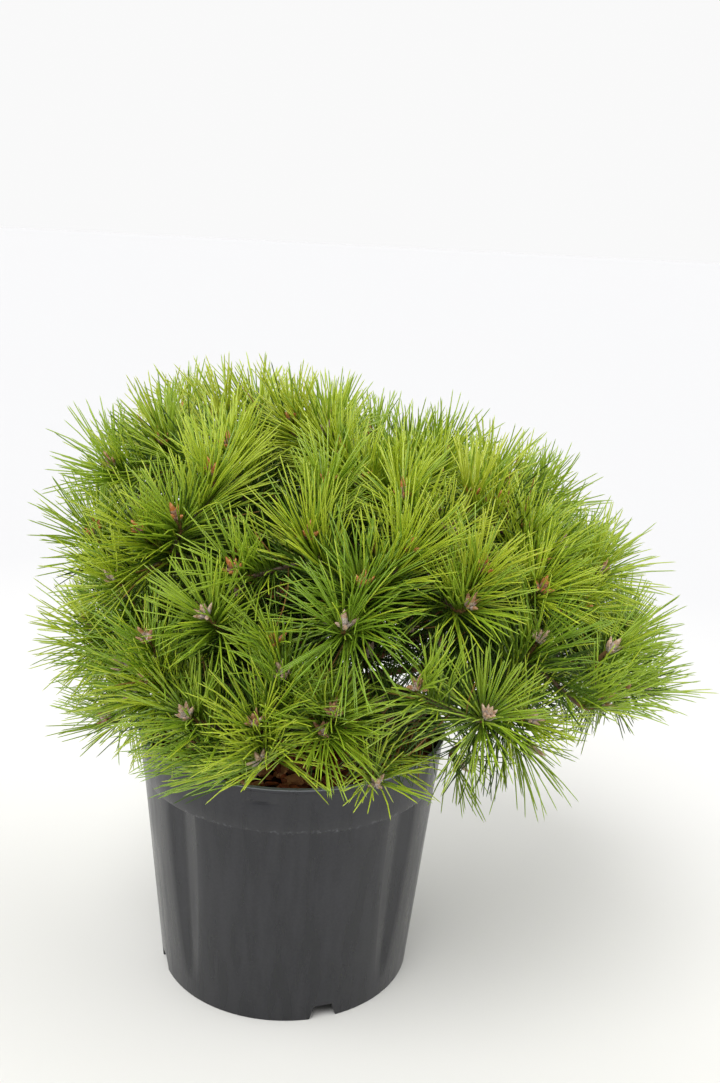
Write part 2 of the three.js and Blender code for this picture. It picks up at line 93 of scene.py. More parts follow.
# The points at radii, angles and heights about the upright axis
def polar(radius, angle, height):
    return np.stack(np.broadcast_arrays(radius * np.cos(angle), radius * np.sin(angle), height), -1)


# The value a share t of the way from a to b
def blend(a, b, t):
    return a + (b - a) * t


# How far a value has come from low to high, held between 0 and 1
def ramp(value, low, high):
    return np.clip((value - low) / (high - low), 0, 1)


# The whole length of a line, step by step
def lengthOf(line):
    return np.linalg.norm(np.diff(line, axis=0), axis=1).sum()


# A repeatable number from 0 to 1 for item k and purpose c: the fraction of a large sine
def chance(k, c):
    return (np.sin(k * 12.9898 + c * 78.233) * 43758.5453) % 1


# The direction at an azimuth in radians whose height on the unit sphere is given
def direction(azimuth, height):
    return polar(np.sqrt(1 - height * height), azimuth, height)


# The points at given shares of a line's length, by straight steps between its points
def pointsAt(line, shares):
    lengths = np.concatenate([[0], np.cumsum(np.linalg.norm(np.diff(line, axis=0), axis=1))])
    at = np.asarray(shares) * lengths[-1]
    return np.stack([np.interp(at, lengths, line[:, i]) for i in range(3)], -1)


# A line's headings at shares of its length: the step from just before to just after
def headingsAt(line, shares):
    step = 0.01
    after = pointsAt(line, np.minimum(np.asarray(shares) + step, 1))
    before = pointsAt(line, np.maximum(np.asarray(shares) - step, 0))
    return unit(after - before)


# A cubic Bezier line through its four corners
def bezier(a, b, c, d, count=25):
    t = np.linspace(0, 1, count)[:, None]
    return (1 - t) ** 3 * a + 3 * (1 - t) ** 2 * t * b + 3 * (1 - t) * t**2 * c + t**3 * d


# A smooth line through points: cubic pieces whose headings come from the square roots of the gaps
def throughPoints(corners, count=20):
    ends = np.vstack([2 * corners[0] - corners[1], corners, 2 * corners[-1] - corners[-2]])
    steps = np.diff(ends, axis=0)
    gaps = np.sqrt(np.linalg.norm(steps, axis=1))[:, None]
    wide = (ends[2:] - ends[:-2]) / (gaps[1:] + gaps[:-1])
    heads = steps[:-1] / gaps[:-1] - wide + steps[1:] / gaps[1:]
    t = np.linspace(0, 1, count, endpoint=False)[:, None]
    pieces = []
    for i in range(len(corners) - 1):
        a, b = corners[i], corners[i + 1]
        leave, arrive = heads[i] * gaps[i + 1], heads[i + 1] * gaps[i + 1]
        pieces.append(
            a * (2 * t**3 - 3 * t**2 + 1) + b * (3 * t**2 - 2 * t**3)
            + leave * (t**3 - 2 * t**2 + t) + arrive * (t**3 - t**2)
        )
    return np.vstack([*pieces, corners[-1:]])


# Smooth noise from 0 to 1: the chances at the corners of each lattice cell, blended across it
def smoothNoise(points, seed):
    cell = np.floor(points)
    f = points - cell
    f = f * f * (3 - 2 * f)
    total = 0
    for corner in np.ndindex(2, 2, 2):
        at = cell + corner
        value = chance(at[..., 0] + 57.3 * at[..., 1] + 113.7 * at[..., 2], seed)
        total = total + value * np.prod(np.where(corner, f, 1 - f), axis=-1)
    return total


# Meshes and pieces

# Puts parts into one, each moving the numbers of its faces on by the points before it
def joined(parts):
    start = 0
    points, groups = [], []
    for own, ownGroups in parts:
        points.append(own)
        groups += [(faces + start, kind) for faces, kind in ownGroups]
        start += len(own)
    return np.vstack(points), groups


# A grid of points, closed from its last column to its first, as quads that face out when its rows
# run up and its columns run anticlockwise
def gridFaces(rows, columns):
    i = np.arange(rows - 1)[:, None]
    j = np.arange(columns)[None]
    k = (j + 1) % columns
    quads = np.stack(np.broadcast_arrays(
        i * columns + j, i * columns + k, (i + 1) * columns + k, (i + 1) * columns + j), -1)
    return quads.reshape(-1, 4)


# Many closed tubes at once: rings of points round lines (tubes, steps, 3), with caps at both ends
def tubes(lines, radii, sides, kinds):
    count, steps = lines.shape[:2]
    heads = unit(np.gradient(lines, axis=1))
    bend = np.cross(heads[:, 0], heads[:, -1])
    leastBend = 0.05  # the sine of the turn from which a line's own bend gives its side
    straight = np.linalg.norm(bend, axis=1, keepdims=True) < leastBend
    side = np.where(straight, anySide(heads[:, 0]), bend)[:, None]
    first = across(side + 0 * heads, heads)
    second = np.cross(heads, first)
    ring = between(first[:, :, None], second[:, :, None], evenTurns(sides))
    points = lines[:, :, None] + radii[..., None, None] * ring
    offsets = (np.arange(count) * steps * sides)[:, None, None]
    quads = (gridFaces(steps, sides)[None] + offsets).reshape(count, steps - 1, sides, 4)
    corners = np.arange(sides)
    foot = corners[::-1][None] + offsets[:, 0]
    top = corners[None] + (steps - 1) * sides + offsets[:, 0]
    groups = [(quads[:, i].reshape(-1, 4), kinds[i]) for i in range(steps - 1)]
    return points.reshape(-1, 3), groups + [(foot, kinds[0]), (top, kinds[-1])]


# Many pointed shapes at once: rings of points round lines (shapes, steps, 3), square to one heading
# for each shape, with a cap at the foot, and the line's last point as the tip. Each band of faces
# and the tip have a material number in kinds
def pointed(lines, headings, radii, sides, kinds):
    count, steps = radii.shape
    first = anySide(headings)
    ring = between(first[:, None], np.cross(headings, first)[:, None], evenTurns(sides))
    points = lines[:, :-1, None] + radii[..., None, None] * ring[:, None]
    points = np.concatenate([points.reshape(count, -1, 3), lines[:, -1:]], 1)
    starts = (steps * sides + 1) * np.arange(count)[:, None, None]
    j = np.arange(sides)
    tip = np.stack([j, (j + 1) % sides, 0 * j + sides], -1) + (steps - 1) * sides
    return points.reshape(-1, 3), [
        ((starts + gridFaces(steps, sides)).reshape(-1, 4), np.repeat(kinds[:, :-1], sides)),
        ((starts + tip).reshape(-1, 3), np.repeat(kinds[:, -1], sides)),
        (starts[:, 0] + j[::-1], kinds[:, 0]),
    ]


# A part's points, in millimetres, and its groups of faces as one mesh in metres, which stays with
# the root, and takes the place of the nodes if there are any
def makePiece(name, part, materials, nodes=(), smooth=True, sharpAngle=None):
    points, groups = part
    mesh = bpy.data.meshes.new(name)
    corners = np.concatenate([faces.ravel() for faces, kind in groups])
    sizes = np.concatenate([np.full(len(faces), faces.shape[1]) for faces, kind in groups])
    kinds = np.concatenate([np.broadcast_to(kind, len(faces)) for faces, kind in groups])
    mesh.vertices.add(len(points))
    mesh.vertices.foreach_set("co", (points * 0.001).astype(np.float32).ravel())
    mesh.loops.add(len(corners))
    mesh.loops.foreach_set("vertex_index", corners.astype(np.int32))
    mesh.polygons.add(len(sizes))
    starts = np.concatenate([[0], np.cumsum(sizes)[:-1]])
    mesh.polygons.foreach_set("loop_start", starts.astype(np.int32))
    for material in materials:
        mesh.materials.append(material)
    mesh.polygons.foreach_set("material_index", kinds.astype(np.int32))
    mesh.polygons.foreach_set("use_smooth", np.full(len(sizes), smooth))
    mesh.update(calc_edges=True)
    mesh.validate()
    if sharpAngle:
        mesh.set_sharp_from_angle(angle=np.radians(sharpAngle))
    piece = bpy.data.objects.new(name, mesh)
    bpy.context.scene.collection.objects.link(piece)
    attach(piece, "root")
    if nodes:
        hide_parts(*nodes)
    print(f"{name}: {int((sizes - 2).sum())} triangles")


# Materials

# An sRGB hex colour as linear values
def toLinear(colour):
    channels = np.array([int(colour[i:i + 2], 16) for i in (1, 3, 5)]) / 255
    linear = np.where(channels <= 0.04045, channels / 12.92, ((channels + 0.055) / 1.055) ** 2.4)
    return (*linear, 1.0)


# Gives a node's inputs, by name or number, their values or links from other nodes' outputs
def feed(tree, node, inputs):
    for name, value in inputs.items():
        if isinstance(value, bpy.types.NodeSocket):
            tree.links.new(value, node.inputs[name])
        else:
            node.inputs[name].default_value = value


# Adds a node with its settings and inputs, and gives its outputs
def addNode(tree, kind, inputs=None, **settings):
    node = tree.nodes.new("ShaderNode" + kind)
    for name, value in settings.items():
        setattr(node, name, value)
    feed(tree, node, inputs or {})
    return node.outputs


# A surface of one colour, which mirrors light more the smoother and the denser it is
def makeMaterial(name, colour, roughness, ior=1.5, specular=0.5):
    material = bpy.data.materials.new(name)
    material.use_nodes = True
    shader = material.node_tree.nodes["Principled BSDF"]
    shader.inputs["Base Color"].default_value = toLinear(colour)
    shader.inputs["Roughness"].default_value = roughness
    shader.inputs["IOR"].default_value = ior
    shader.inputs["Specular IOR Level"].default_value = specular
    material.diffuse_color = toLinear(colour)
    return material


mottle = {"detail": 5, "roughness": 0.65, "from": 0.38, "to": 0.64}  # its noise and its blend


# Two colours in patches, which are about as wide as the grain in millimetres
def makeMottled(name, first, second, grain, roughness, specular):
    material = makeMaterial(name, first, roughness, specular=specular)
    tree = material.node_tree
    noise = {
        "Vector": addNode(tree, "TexCoord")["Object"],
        "Scale": 1000 / grain, "Detail": mottle["detail"], "Roughness": mottle["roughness"],
    }
    patches = addNode(tree, "TexNoise", noise)["Fac"]
    share = addNode(tree, "MapRange", {
        "Value": patches, "From Min": mottle["from"], "From Max": mottle["to"],
    })["Result"]
    ends = {"Factor": share, "A": toLinear(first), "B": toLinear(second)}
    colours = addNode(tree, "Mix", ends, data_type="RGBA")["Result"]
    feed(tree, tree.nodes["Principled BSDF"], {"Base Color": colours})
    return material


# The container

pot = {
    "height": 268,
    "baseRadius": 133,
    "rimRadius": 158,
    "wall": 2.4,
    "padRadius": 52,
    "padSlope": 4,  # how much further out its side meets the floor
    "footWidth": 4,
    "floorHeight": 12,
    "floorThickness": 2.6,
    "collarFrom": 220,
    "collarStep": 0.8,
    "lipHeight": 5,
    "lipProud": 1.2,
    "edge": 0.5,  # how far moulded edges are rounded
}
notch = {"turn": 61, "height": 14, "footWidth": 28, "topWidth": 19}  # its turn from the flute
flute = {
    "first": -43.2,
    "from": 24,
    "halfWidth": 20.5,  # at the collar
    "closesAt": -30,  # the height at which its sides would meet
    "depthShare": 0.24,  # of its half width
    "fade": 22,  # over which its lower end runs out
    "round": 1.6,  # radius of the hollow at its bottom
}
groove = {"turn": 33.5, "halfAngle": 6.4, "height": 251, "width": 3.2, "depth": 1.0, "side": 0.003}
drain = {"count": 8, "ring": 96, "radius": 7, "raySteps": 4, "rays": 32}
quarters = 4  # the flutes, notches and grooves come round once in each quarter turn
quarterTurns = np.radians(flute["first"] - 90 + 360 / quarters * np.arange(quarters))[:, None]


# The plain wall's outside, which widens evenly with the height
def wallRadius(height):
    return pot["baseRadius"] + (pot["rimRadius"] - pot["baseRadius"]) / pot["height"] * height


# The flute at each height is a soft V: its half width closes as a parabola towards the foot, and
# its depth is a share of that. This gives its depth and the angle where it meets the round wall
def fluteAt(height):
    up = (height - flute["closesAt"]) / (pot["collarFrom"] - flute["closesAt"])
    half = flute["halfWidth"] * (1 - (1 - up) ** 2)
    fade = ramp(height, flute["from"], flute["from"] + flute["fade"])
    return flute["depthShare"] * half * fade, np.arcsin(half / wallRadius(height))


# The wall's radius with its flutes: each side of the V is a plane, written as a radius at an
# angle, from its low middle out to the wall, and the middle itself is rounded
def flutedRadius(angle, height):
    wall = wallRadius(height)
    depth, end = fluteAt(np.clip(height, flute["from"], pot["collarFrom"]))
    soft = flute["round"] / wall
    away = np.hypot(np.sin(angle), soft) - soft
    slope = (wall * np.cos(end) - wall + depth) / (wall * (np.hypot(np.sin(end), soft) - soft))
    recess = (wall - depth) / np.maximum(np.cos(angle) - slope * away, 0.5)
    inReach = (np.abs(angle) <= end + 1e-6) & (height > flute["from"])
    inReach &= height <= pot["collarFrom"]
    return np.where(inReach, np.minimum(wall, recess), wall)


# The angles of a quarter's columns at each height, from the flute's middle. Those of the flute
# move with its sides, and the others have fixed places at the corners of notch and groove
def quarterAngles(height):
    end = fluteAt(np.clip(height, flute["from"], pot["collarFrom"]))[1]
    before, after = np.radians(notch["turn"] - 360 / quarters), np.radians(notch["turn"])
    foot = notch["footWidth"] / 2 / pot["baseRadius"]
    top = notch["topWidth"] / 2 / pot["baseRadius"]
    start = np.radians(groove["turn"] - groove["halfAngle"])
    stop = np.radians(groove["turn"] + groove["halfAngle"])
    stops = [  # (angle, columns from it to the next)
        (before, 2), (before + top, 1), (before + foot, 6), (-end, 8), (0, 8), (end, 8),
        (start - groove["side"], 1), (start, 8), (stop, 1), (stop + groove["side"], 7),
        (after - foot, 1), (after - top, 2), (after, 0),
    ]
    return np.array([
        blend(one, other, share)
        for (one, count), (other, _) in zip(stops, stops[1:]) for share in np.arange(count) / count
    ])


# The height of the foot's edge: zero, and raised as a trapezium at each notch
def footEdge(angle):
    before = np.radians(notch["turn"] - 360 / quarters)
    away = np.minimum(np.abs(angle - before), np.abs(angle - np.radians(notch["turn"])))
    away = away * pot["baseRadius"]
    side = (notch["footWidth"] - notch["topWidth"]) / 2
    return notch["height"] * np.clip((notch["footWidth"] / 2 - away) / side, 0, 1)


# The shell as one grid: its rows run from the floor's underside round the foot, up the outside,
# over the lip and down the inside. The lowest rows start at the foot's edge and end at one height
def makeShell():
    collar, edge, wall, top = pot["collarStep"], pot["edge"], pot["wall"], pot["height"]
    floor, floorTop = pot["floorHeight"], pot["floorHeight"] + pot["floorThickness"]
    lipFrom, proud = top - pot["lipHeight"], collar + pot["lipProud"]
    grooveFrom = groove["height"] - groove["width"] / 2
    grooveTo = groove["height"] + groove["width"] / 2
    outer, inner = wallRadius(0), wallRadius(0) - pot["footWidth"]
    turned = quarterAngles(0)
    foot = footEdge(turned)
    rows = [  # (radius, height, angle), each a number or a value for every column
        (inner - 1, floor, turned),
        (inner, np.minimum(foot + edge, floor), turned),
        (inner + edge, np.minimum(foot, floor + 0.2 * edge), turned),
        (outer - edge, foot, turned),
        (outer, foot + edge, turned),
    ]
    for share in np.arange(1, 6) / 5:
        height = blend(foot + edge, flute["from"] - 4, share)
        rows.append((wallRadius(height), height, turned))
    for height in np.linspace(flute["from"], pot["collarFrom"] - 0.05, 13):
        angles = quarterAngles(height)
        rows.append((flutedRadius(angles, height), height, angles))
    angles = quarterAngles(pot["collarFrom"])
    aside = (angles - np.radians(groove["turn"])) / np.radians(groove["halfAngle"])
    pressed = groove["depth"] * np.clip(1 - aside * aside, 0, 1) ** 0.7
    profile = [  # (how far outside the plain wall, height)
        (0, pot["collarFrom"]),
        (collar, pot["collarFrom"] + 2 * collar),
        (collar, 236),
        (collar, grooveFrom - edge),
        (collar - 0.5 * pressed, grooveFrom + 0.6),
        (collar - pressed, grooveTo - 0.7),
        (collar - 0.8 * pressed, grooveTo - 0.2),
        (collar, grooveTo + edge),
        (collar, lipFrom),
        (proud - edge, lipFrom + 0.6),
        (proud, lipFrom + 0.6 + edge),
        (proud, top - 1 - edge),
        (proud - 0.4 * edge, top - 0.6),
        (-0.2, top - 0.1),
        (-1, top),
        (-wall + edge, top),
        (-wall, top - edge),
        *[(-wall, height) for height in (258, 246, 232, pot["collarFrom"])],
    ]
    rows += [(wallRadius(height) + beyond, height, angles) for beyond, height in profile]
    for height in np.linspace(pot["collarFrom"] - 0.5, flute["from"], 7):
        angles = quarterAngles(height)
        rows.append((flutedRadius(angles, height) - wall, height, angles))
    rows += [(wallRadius(floorTop) - wall, floorTop, turned), (inner - 1, floorTop, turned)]
    radius, height, angle = np.stack([np.broadcast_arrays(*row) for row in rows], 1)
    angle = (angle[:, None] + quarterTurns).reshape(len(rows), -1)
    points = polar(np.tile(radius, quarters), angle, np.tile(height, quarters))
    return points.reshape(-1, 3), [(gridFaces(*angle.shape), 0)]


# The floor at one height, between the middle pad and the foot, with its drain holes: from each
# hole, rays run out to the borders of its own share of the ring
def floorRays(height):
    inner, outer = pot["padRadius"] + pot["padSlope"], wallRadius(0) - pot["footWidth"] - 1
    ray = evenTurns(drain["rays"])
    far = 1 / np.maximum(np.abs(np.cos(ray)), np.abs(np.sin(ray)))
    reach = np.where(np.cos(ray) > 0, outer - drain["ring"], drain["ring"] - inner)
    aside = np.pi / drain["count"] * far * np.sin(ray)
    border = polar(drain["ring"] + reach * far * np.cos(ray), aside, 0)
    hole = [drain["ring"], 0, 0] + polar(drain["radius"], ray, 0)
    steps = np.linspace(0, 1, drain["raySteps"])[:, None, None]
    return blend(hole, border, steps) + height * upward


# The floor is one strip for each drain hole, turned to its place, and the pad a disc of rings
def makeFloor():
    floorTop = pot["floorHeight"] + pot["floorThickness"]
    sheet = np.concatenate([floorRays(pot["floorHeight"])[::-1], floorRays(floorTop)])
    faces = gridFaces(*sheet.shape[:2])
    parts = []
    for i in range(drain["count"]):
        turn = 2 * np.pi * (i + 0.5) / drain["count"]
        spun = sheet @ [[np.cos(turn), np.sin(turn), 0], [-np.sin(turn), np.cos(turn), 0], upward]
        parts.append((spun.reshape(-1, 3), [(faces, 0)]))
    pad, out = pot["padRadius"], pot["padRadius"] + pot["padSlope"]
    disc = np.array([  # (radius, height) of the middle pad, under and then over
        (out, pot["floorHeight"]), (pad + 0.6, 1), (pad - 0.6, 0), (0.5 * pad, 0), (0.01, 0),
        *[(radius, pot["floorThickness"]) for radius in (0.01, 0.5 * pad, pad - 1)], (out, floorTop),
    ])
    points = polar(disc[:, :1], evenTurns(64), disc[:, 1:])
    parts.append((points.reshape(-1, 3), [(gridFaces(*points.shape[:2])[:, ::-1], 0)]))
    return joined(parts)


# Moulded black polypropylene: satin, a little greyer where it has been scuffed up and down in
# stacking, duller in those streaks, scratched at its step, and with a painted highlight: a pale
# line along the top of its rim
def makePotMaterial():
    # painted highlight: the top of the rim is mixed towards pale grey, standing in for light caught on
    # its edge
    rimHighlight = {"from": 266.2, "share": 0.9, "colour": "#b9bfc6"}
    streak = {
        "width": 11, "length": 90, "detail": 2.5, "clean": "#090a0c", "dull": "#212124",
        "from": 0.32, "to": 0.7, "smooth": 0.22, "rough": 0.42, "roughFrom": 0.3, "roughTo": 0.75,
    }
    dust = {"grain": 2.4, "detail": 2, "from": 0.35, "to": 0.68, "amount": 0.22}
    ledge = {
        "height": 221, "reach": 3, "share": 0.75, "colour": "#6d6f72",
        "mark": 4.5, "detail": 3, "from": 0.52, "to": 0.72,
    }
    grain = {"size": 0.9, "detail": 1, "strength": 0.25, "depth": 0.0002}
    material = makeMaterial("mouldedBlackPolypropylene", "#1d1e22", 0.3, ior=1.58)
    tree = material.node_tree
    shader = tree.nodes["Principled BSDF"]
    place = addNode(tree, "TexCoord")["Object"]
    stretch = (1000 / streak["width"], 1000 / streak["width"], 1000 / streak["length"])
    drawnOut = addNode(tree, "Mapping", {"Vector": place, "Scale": stretch})["Vector"]
    streaks = addNode(tree, "TexNoise", {
        "Vector": drawnOut, "Scale": 1, "Detail": streak["detail"],
    })["Fac"]
    clear = addNode(tree, "MapRange", {
        "Value": streaks, "From Min": streak["from"], "From Max": streak["to"],
    })["Result"]
    specks = addNode(tree, "TexNoise", {
        "Vector": place, "Scale": 1000 / dust["grain"], "Detail": dust["detail"],
    })["Fac"]
    dusty = addNode(tree, "MapRange", {
        "Value": specks, "From Min": dust["from"], "From Max": dust["to"],
        "To Min": -dust["amount"], "To Max": dust["amount"],
    })["Result"]
    mottled = addNode(tree, "Math", {0: clear, 1: dusty}, operation="ADD", use_clamp=True)["Value"]
    plain = addNode(tree, "Mix", {
        "Factor": mottled, "A": toLinear(streak["clean"]), "B": toLinear(streak["dull"]),
    }, data_type="RGBA")["Result"]
    height = addNode(tree, "SeparateXYZ", {"Vector": place})["Z"]
    away = addNode(tree, "Math", {0: height, 1: ledge["height"] / 1000}, operation="SUBTRACT")["Value"]
    near = addNode(tree, "MapRange", {
        "Value": addNode(tree, "Math", {0: away}, operation="ABSOLUTE")["Value"],
        "From Min": ledge["reach"] / 1000, "From Max": 0, "To Max": ledge["share"],
    })["Result"]
    marks = addNode(tree, "TexNoise", {
        "Vector": place, "Scale": 1000 / ledge["mark"], "Detail": ledge["detail"],
    })["Fac"]
    marked = addNode(tree, "MapRange", {
        "Value": marks, "From Min": ledge["from"], "From Max": ledge["to"],
    })["Result"]
    scratched = addNode(tree, "Math", {0: near, 1: marked}, operation="MULTIPLY")["Value"]
    withLedge = addNode(tree, "Mix", {
        "Factor": scratched, "A": plain, "B": toLinear(ledge["colour"]),
    }, data_type="RGBA")["Result"]
    # painted highlight: how far the top of the rim is mixed towards pale grey
    rimHighlightShare = addNode(tree, "MapRange", {
        "Value": height, "From Min": rimHighlight["from"] / 1000, "From Max": pot["height"] / 1000,
        "To Max": rimHighlight["share"],
    })["Result"]
    withRimHighlight = addNode(tree, "Mix", {
        "Factor": rimHighlightShare, "A": withLedge, "B": toLinear(rimHighlight["colour"]),
    }, data_type="RGBA")["Result"]
    roughness = addNode(tree, "MapRange", {
        "Value": streaks, "From Min": streak["roughFrom"], "From Max": streak["roughTo"],
        "To Min": streak["smooth"], "To Max": streak["rough"],
    })["Result"]
    pits = addNode(tree, "TexNoise", {
        "Vector": place, "Scale": 1000 / grain["size"], "Detail": grain["detail"],
    })["Fac"]
    bump = addNode(tree, "Bump", {
        "Height": pits, "Strength": grain["strength"], "Distance": grain["depth"],
    })["Normal"]
    feed(tree, shader, {
        "Base Color": withRimHighlight, "Roughness": roughness, "Normal": bump,
        "Specular Tint": (0.93, 0.94, 1, 1),
    })
    return material


makePiece(
    "nurseryContainer", joined([makeShell(), makeFloor()]), [makePotMaterial()], ["pot"],
    sharpAngle=28,
)


# The growing medium

mulch = {
    "edgeLevel": 247,
    "middleLevel": 258,
    "middleRadius": 26,
    "clearance": 0.35,  # to the container all round
    "columnsAt": 200,  # the height whose columns of the flutes it takes
    "padSlope": (1.5, 2.5),  # from where to where about the pad's edge it rises to the floor
    "sideRows": 12,
    "topRows": 60,
    "crumbs": [(5, 2.4, 3), (2.2, 1.4, 4)],  # (width, height, seed) of coarse and fine ones
    "crumbsSink": 1.9,  # how far they are set into the level
    "chips": 1500,
    "chipLength": (9, 27),
    "chipWidth": (5, 13),
    "chipWidest": 0.8,  # of its length
    "chipThickness": (1.6, 4),
    "chipCorners": [0, 50, 130, 180, 235, 310],  # round its outline
    "chipSpread": 0.25,  # of the corners round it, in radians
    "chipUneven": (0.75, 1.05),  # how far out its corners stand
    "chipTop": (0.7, 0.95),  # how much smaller its upper face is
    "chipWedge": 0.08,  # how steeply that may rise along it
    "chipLevel": (0.5, 5),  # above the peat
    "tilt": 26,
    "roll": 0.2,
    "trunkRoom": 19,
    "wallRoom": 4,
    "seed": 7,
}


# The level falls from the middle with the square of the distance
def mediumLevel(radius):
    edge = wallRadius(mulch["edgeLevel"]) - pot["wall"] - mulch["clearance"]
    outward = np.maximum(radius - mulch["middleRadius"], 0) / (edge - mulch["middleRadius"])
    return mulch["middleLevel"] - (mulch["middleLevel"] - mulch["edgeLevel"]) * outward**2


# The filling as one grid, from the middle of its underside out over the container's floor, up the
# inside of the wall, and back to the middle over crumbs, which are two noises of their own sizes
def makeMedium():
    gap = pot["wall"] + mulch["clearance"]
    low = pot["floorThickness"] + mulch["clearance"]
    pad, floor = pot["padRadius"], pot["floorHeight"] + low
    within, beyond = mulch["padSlope"]
    own = quarterAngles(mulch["columnsAt"])
    rows = [(0.01, low), (pad - within, low), (pad + beyond, floor)]  # (radius, height)
    for height in np.linspace(floor, mulch["edgeLevel"] - 1, mulch["sideRows"]):
        rows.append((flutedRadius(own, height) - gap, height))
    edge = wallRadius(mulch["edgeLevel"]) - gap
    rows += [(radius, mediumLevel(radius)) for radius in np.linspace(edge, 0.01, mulch["topRows"])]
    grid = np.stack([np.broadcast_arrays(*row, own)[:2] for row in rows], 1)
    radius, height = np.tile(grid, quarters)
    points = polar(radius, (own + quarterTurns).ravel(), height)
    crumbs = sum(smoothNoise(points / size, seed) * tall for size, tall, seed in mulch["crumbs"])
    loose = (np.arange(len(rows))[:, None] > len(rows) - mulch["topRows"]) & (radius > 2)
    points[..., 2] += np.where(loose, crumbs - mulch["crumbsSink"], 0)
    return points.reshape(-1, 3), [(gridFaces(*radius.shape), 0)]


# Bark chips: flat six-cornered slabs with uneven outlines, laid level with small tilts. Each is
# its outline times its size, thinned to a wedge, turned and set on the medium's surface
def makeChips():
    rng = np.random.default_rng(mulch["seed"])
    count, corners = mulch["chips"], len(mulch["chipCorners"])
    length = rng.uniform(*mulch["chipLength"], count)
    width = np.minimum(rng.uniform(*mulch["chipWidth"], count), mulch["chipWidest"] * length)
    thick = rng.uniform(*mulch["chipThickness"], (count, 1, 1))
    near = mulch["trunkRoom"]
    far = wallRadius(mulch["edgeLevel"]) - pot["wall"] - mulch["wallRoom"]
    radius = np.sqrt(rng.uniform(near**2, far**2, count))
    radius = np.clip(radius, near + length / 2, far - length / 2)
    azimuth = rng.uniform(0, 2 * np.pi, count)
    spread, wedge = mulch["chipSpread"], mulch["chipWedge"]
    corner = np.radians(mulch["chipCorners"]) + rng.uniform(-spread, spread, (count, corners))
    size = np.stack([length, width, 0 * width], -1)[:, None] / 2
    outline = polar(rng.uniform(*mulch["chipUneven"], (count, corners)), corner, 0) * size
    top = outline * rng.uniform(*mulch["chipTop"], (count, 1, 1)) + upward * thick / 2
    top[..., 2] += outline[..., 0] * rng.uniform(-wedge, wedge, (count, 1))
    chip = np.concatenate([outline - upward * thick / 2, top], 1)
    turn = rng.uniform(0, 2 * np.pi, count)
    ahead = direction(turn, np.sin(np.radians(rng.normal(0, mulch["tilt"] / 2, count))))
    up = across(upward + rng.normal(0, mulch["roll"], (count, 3)), ahead)
    axes = [ahead, np.cross(up, ahead), up]
    turned = sum(chip[..., i:i + 1] * axis[:, None] for i, axis in enumerate(axes))
    place = polar(radius, azimuth, mediumLevel(radius) + rng.uniform(*mulch["chipLevel"], count))
    starts, j = 2 * corners * np.arange(count)[:, None, None], np.arange(corners)
    shade = rng.integers(0, 4, count)
    return (turned + place[:, None]).reshape(-1, 3), [
        ((starts + gridFaces(2, corners)).reshape(-1, 4), np.repeat(shade, corners)),
        (starts[:, 0] + j + corners, shade),
        (starts[:, 0] + j[::-1], shade),
    ]


# Damp peat, dark and matt, and composted pine bark, whose broken faces run from red-brown to tan
peat = makeMottled("dampPeat", "#24150e", "#45291b", 2.5, 0.95, 0.2)
chipBark = [
    makeMottled("barkChipRed", "#b1633a", "#8c4a2c", 5, 0.85, 0.25),
    makeMottled("barkChipDark", "#5a3223", "#77442f", 5, 0.9, 0.2),
    makeMottled("barkChipBrown", "#935537", "#723f2a", 5, 0.88, 0.25),
    makeMottled("barkChipTan", "#cb9063", "#a56c46", 5, 0.85, 0.25),
]
makePiece("peatFilling", makeMedium(), [peat], ["growing_medium"])
makePiece("barkChips", makeChips(), chipBark, smooth=False)


# The plant's frame, by the rule that its solids grew by

crown = {
    "middle": np.array([60.0, 0, 330]),
    "reach": {"right": 356, "left": 308, "front": 305, "back": 320},
    "rise": {"right": 294, "left": 332, "front": 299, "back": 299},
    "drop": 300,
    "squareness": {"right": 2.1, "left": 5.8, "front": 3.0, "back": 2.4},
    "dip": 20,  # how far below level shoots may stand, in degrees
    "room": 20,  # and how far their feet keep above the underside
    "underside": {"right": 226, "left": 222, "front": 284, "back": 225},
    "undersideReach": 220,
    "undersideRise": 0.55,
    "uneven": 44,  # how much lower one shoot's needles may hang than another's
}
hollow = {"azimuth": -42, "width": 24, "raise": 64}  # where the lower right of the crown is open
parting = {"x": -6, "width": 26, "raise": 36, "even": 0.4}  # and its front shows rim and bark chips
shoot = {
    "count": 152,  # the solids carry the first 119 of the same sequence
    "innerCount": 120,  # weaker shoots further in, which carry the sequence on
    "innerDepth": 0.3,
    "tries": 6,
    "droopersFrom": 1000,  # the number of the first drooping one
    "firstTurn": 0.27,
    "turnStep": 0.569840291,
    "heightStep": 0.7548776662,
    "tipReach": 72,
    "lift": 0.6,
    "wander": 0.5,
    "depthSpread": 0.1,
}
droopers = [
    {"azimuth": -28, "elevation": -33, "share": 0.64, "lowest": 192},
    {"azimuth": -30, "elevation": -12, "share": 0.78, "lowest": 232},
]
trunk = {"footRadius": 17, "radius": 12.5, "tipRadius": 8, "below": 8}
trunkLine = throughPoints(np.array([
    [-1.0, 0, mulch["middleLevel"] - trunk["below"]], [5, 1, 280], [20, -2, 308], [36, 0, 348],
]))
bough = {"baseRadius": 4.8, "tipRadius": 3.3, "lift": 0.35, "leave": 0.38, "arrive": 0.3}
stem = {
    "length": 34, "baseRadius": 3.3, "tipRadius": 2.6, "sink": 3, "steps": 9, "sides": 12,
    "branchesAt": (0.6, 0.95),
}
twig = {
    "radius": 2.2, "bend": 0.3, "detour": 0.35, "arches": [0, 0.2, 0.4], "branchesAt": (1 / 3, 2 / 3),
    "ahead": 0.05,  # how far forward of its branching point's heading a twig goes at least
}
spaceGap = 0.8
shootMargin = 12
limbMargin = 7
potMargin = 4
limbShares = np.linspace(0, 1, 7)  # the ends of the straight stretches that limbs are tested by
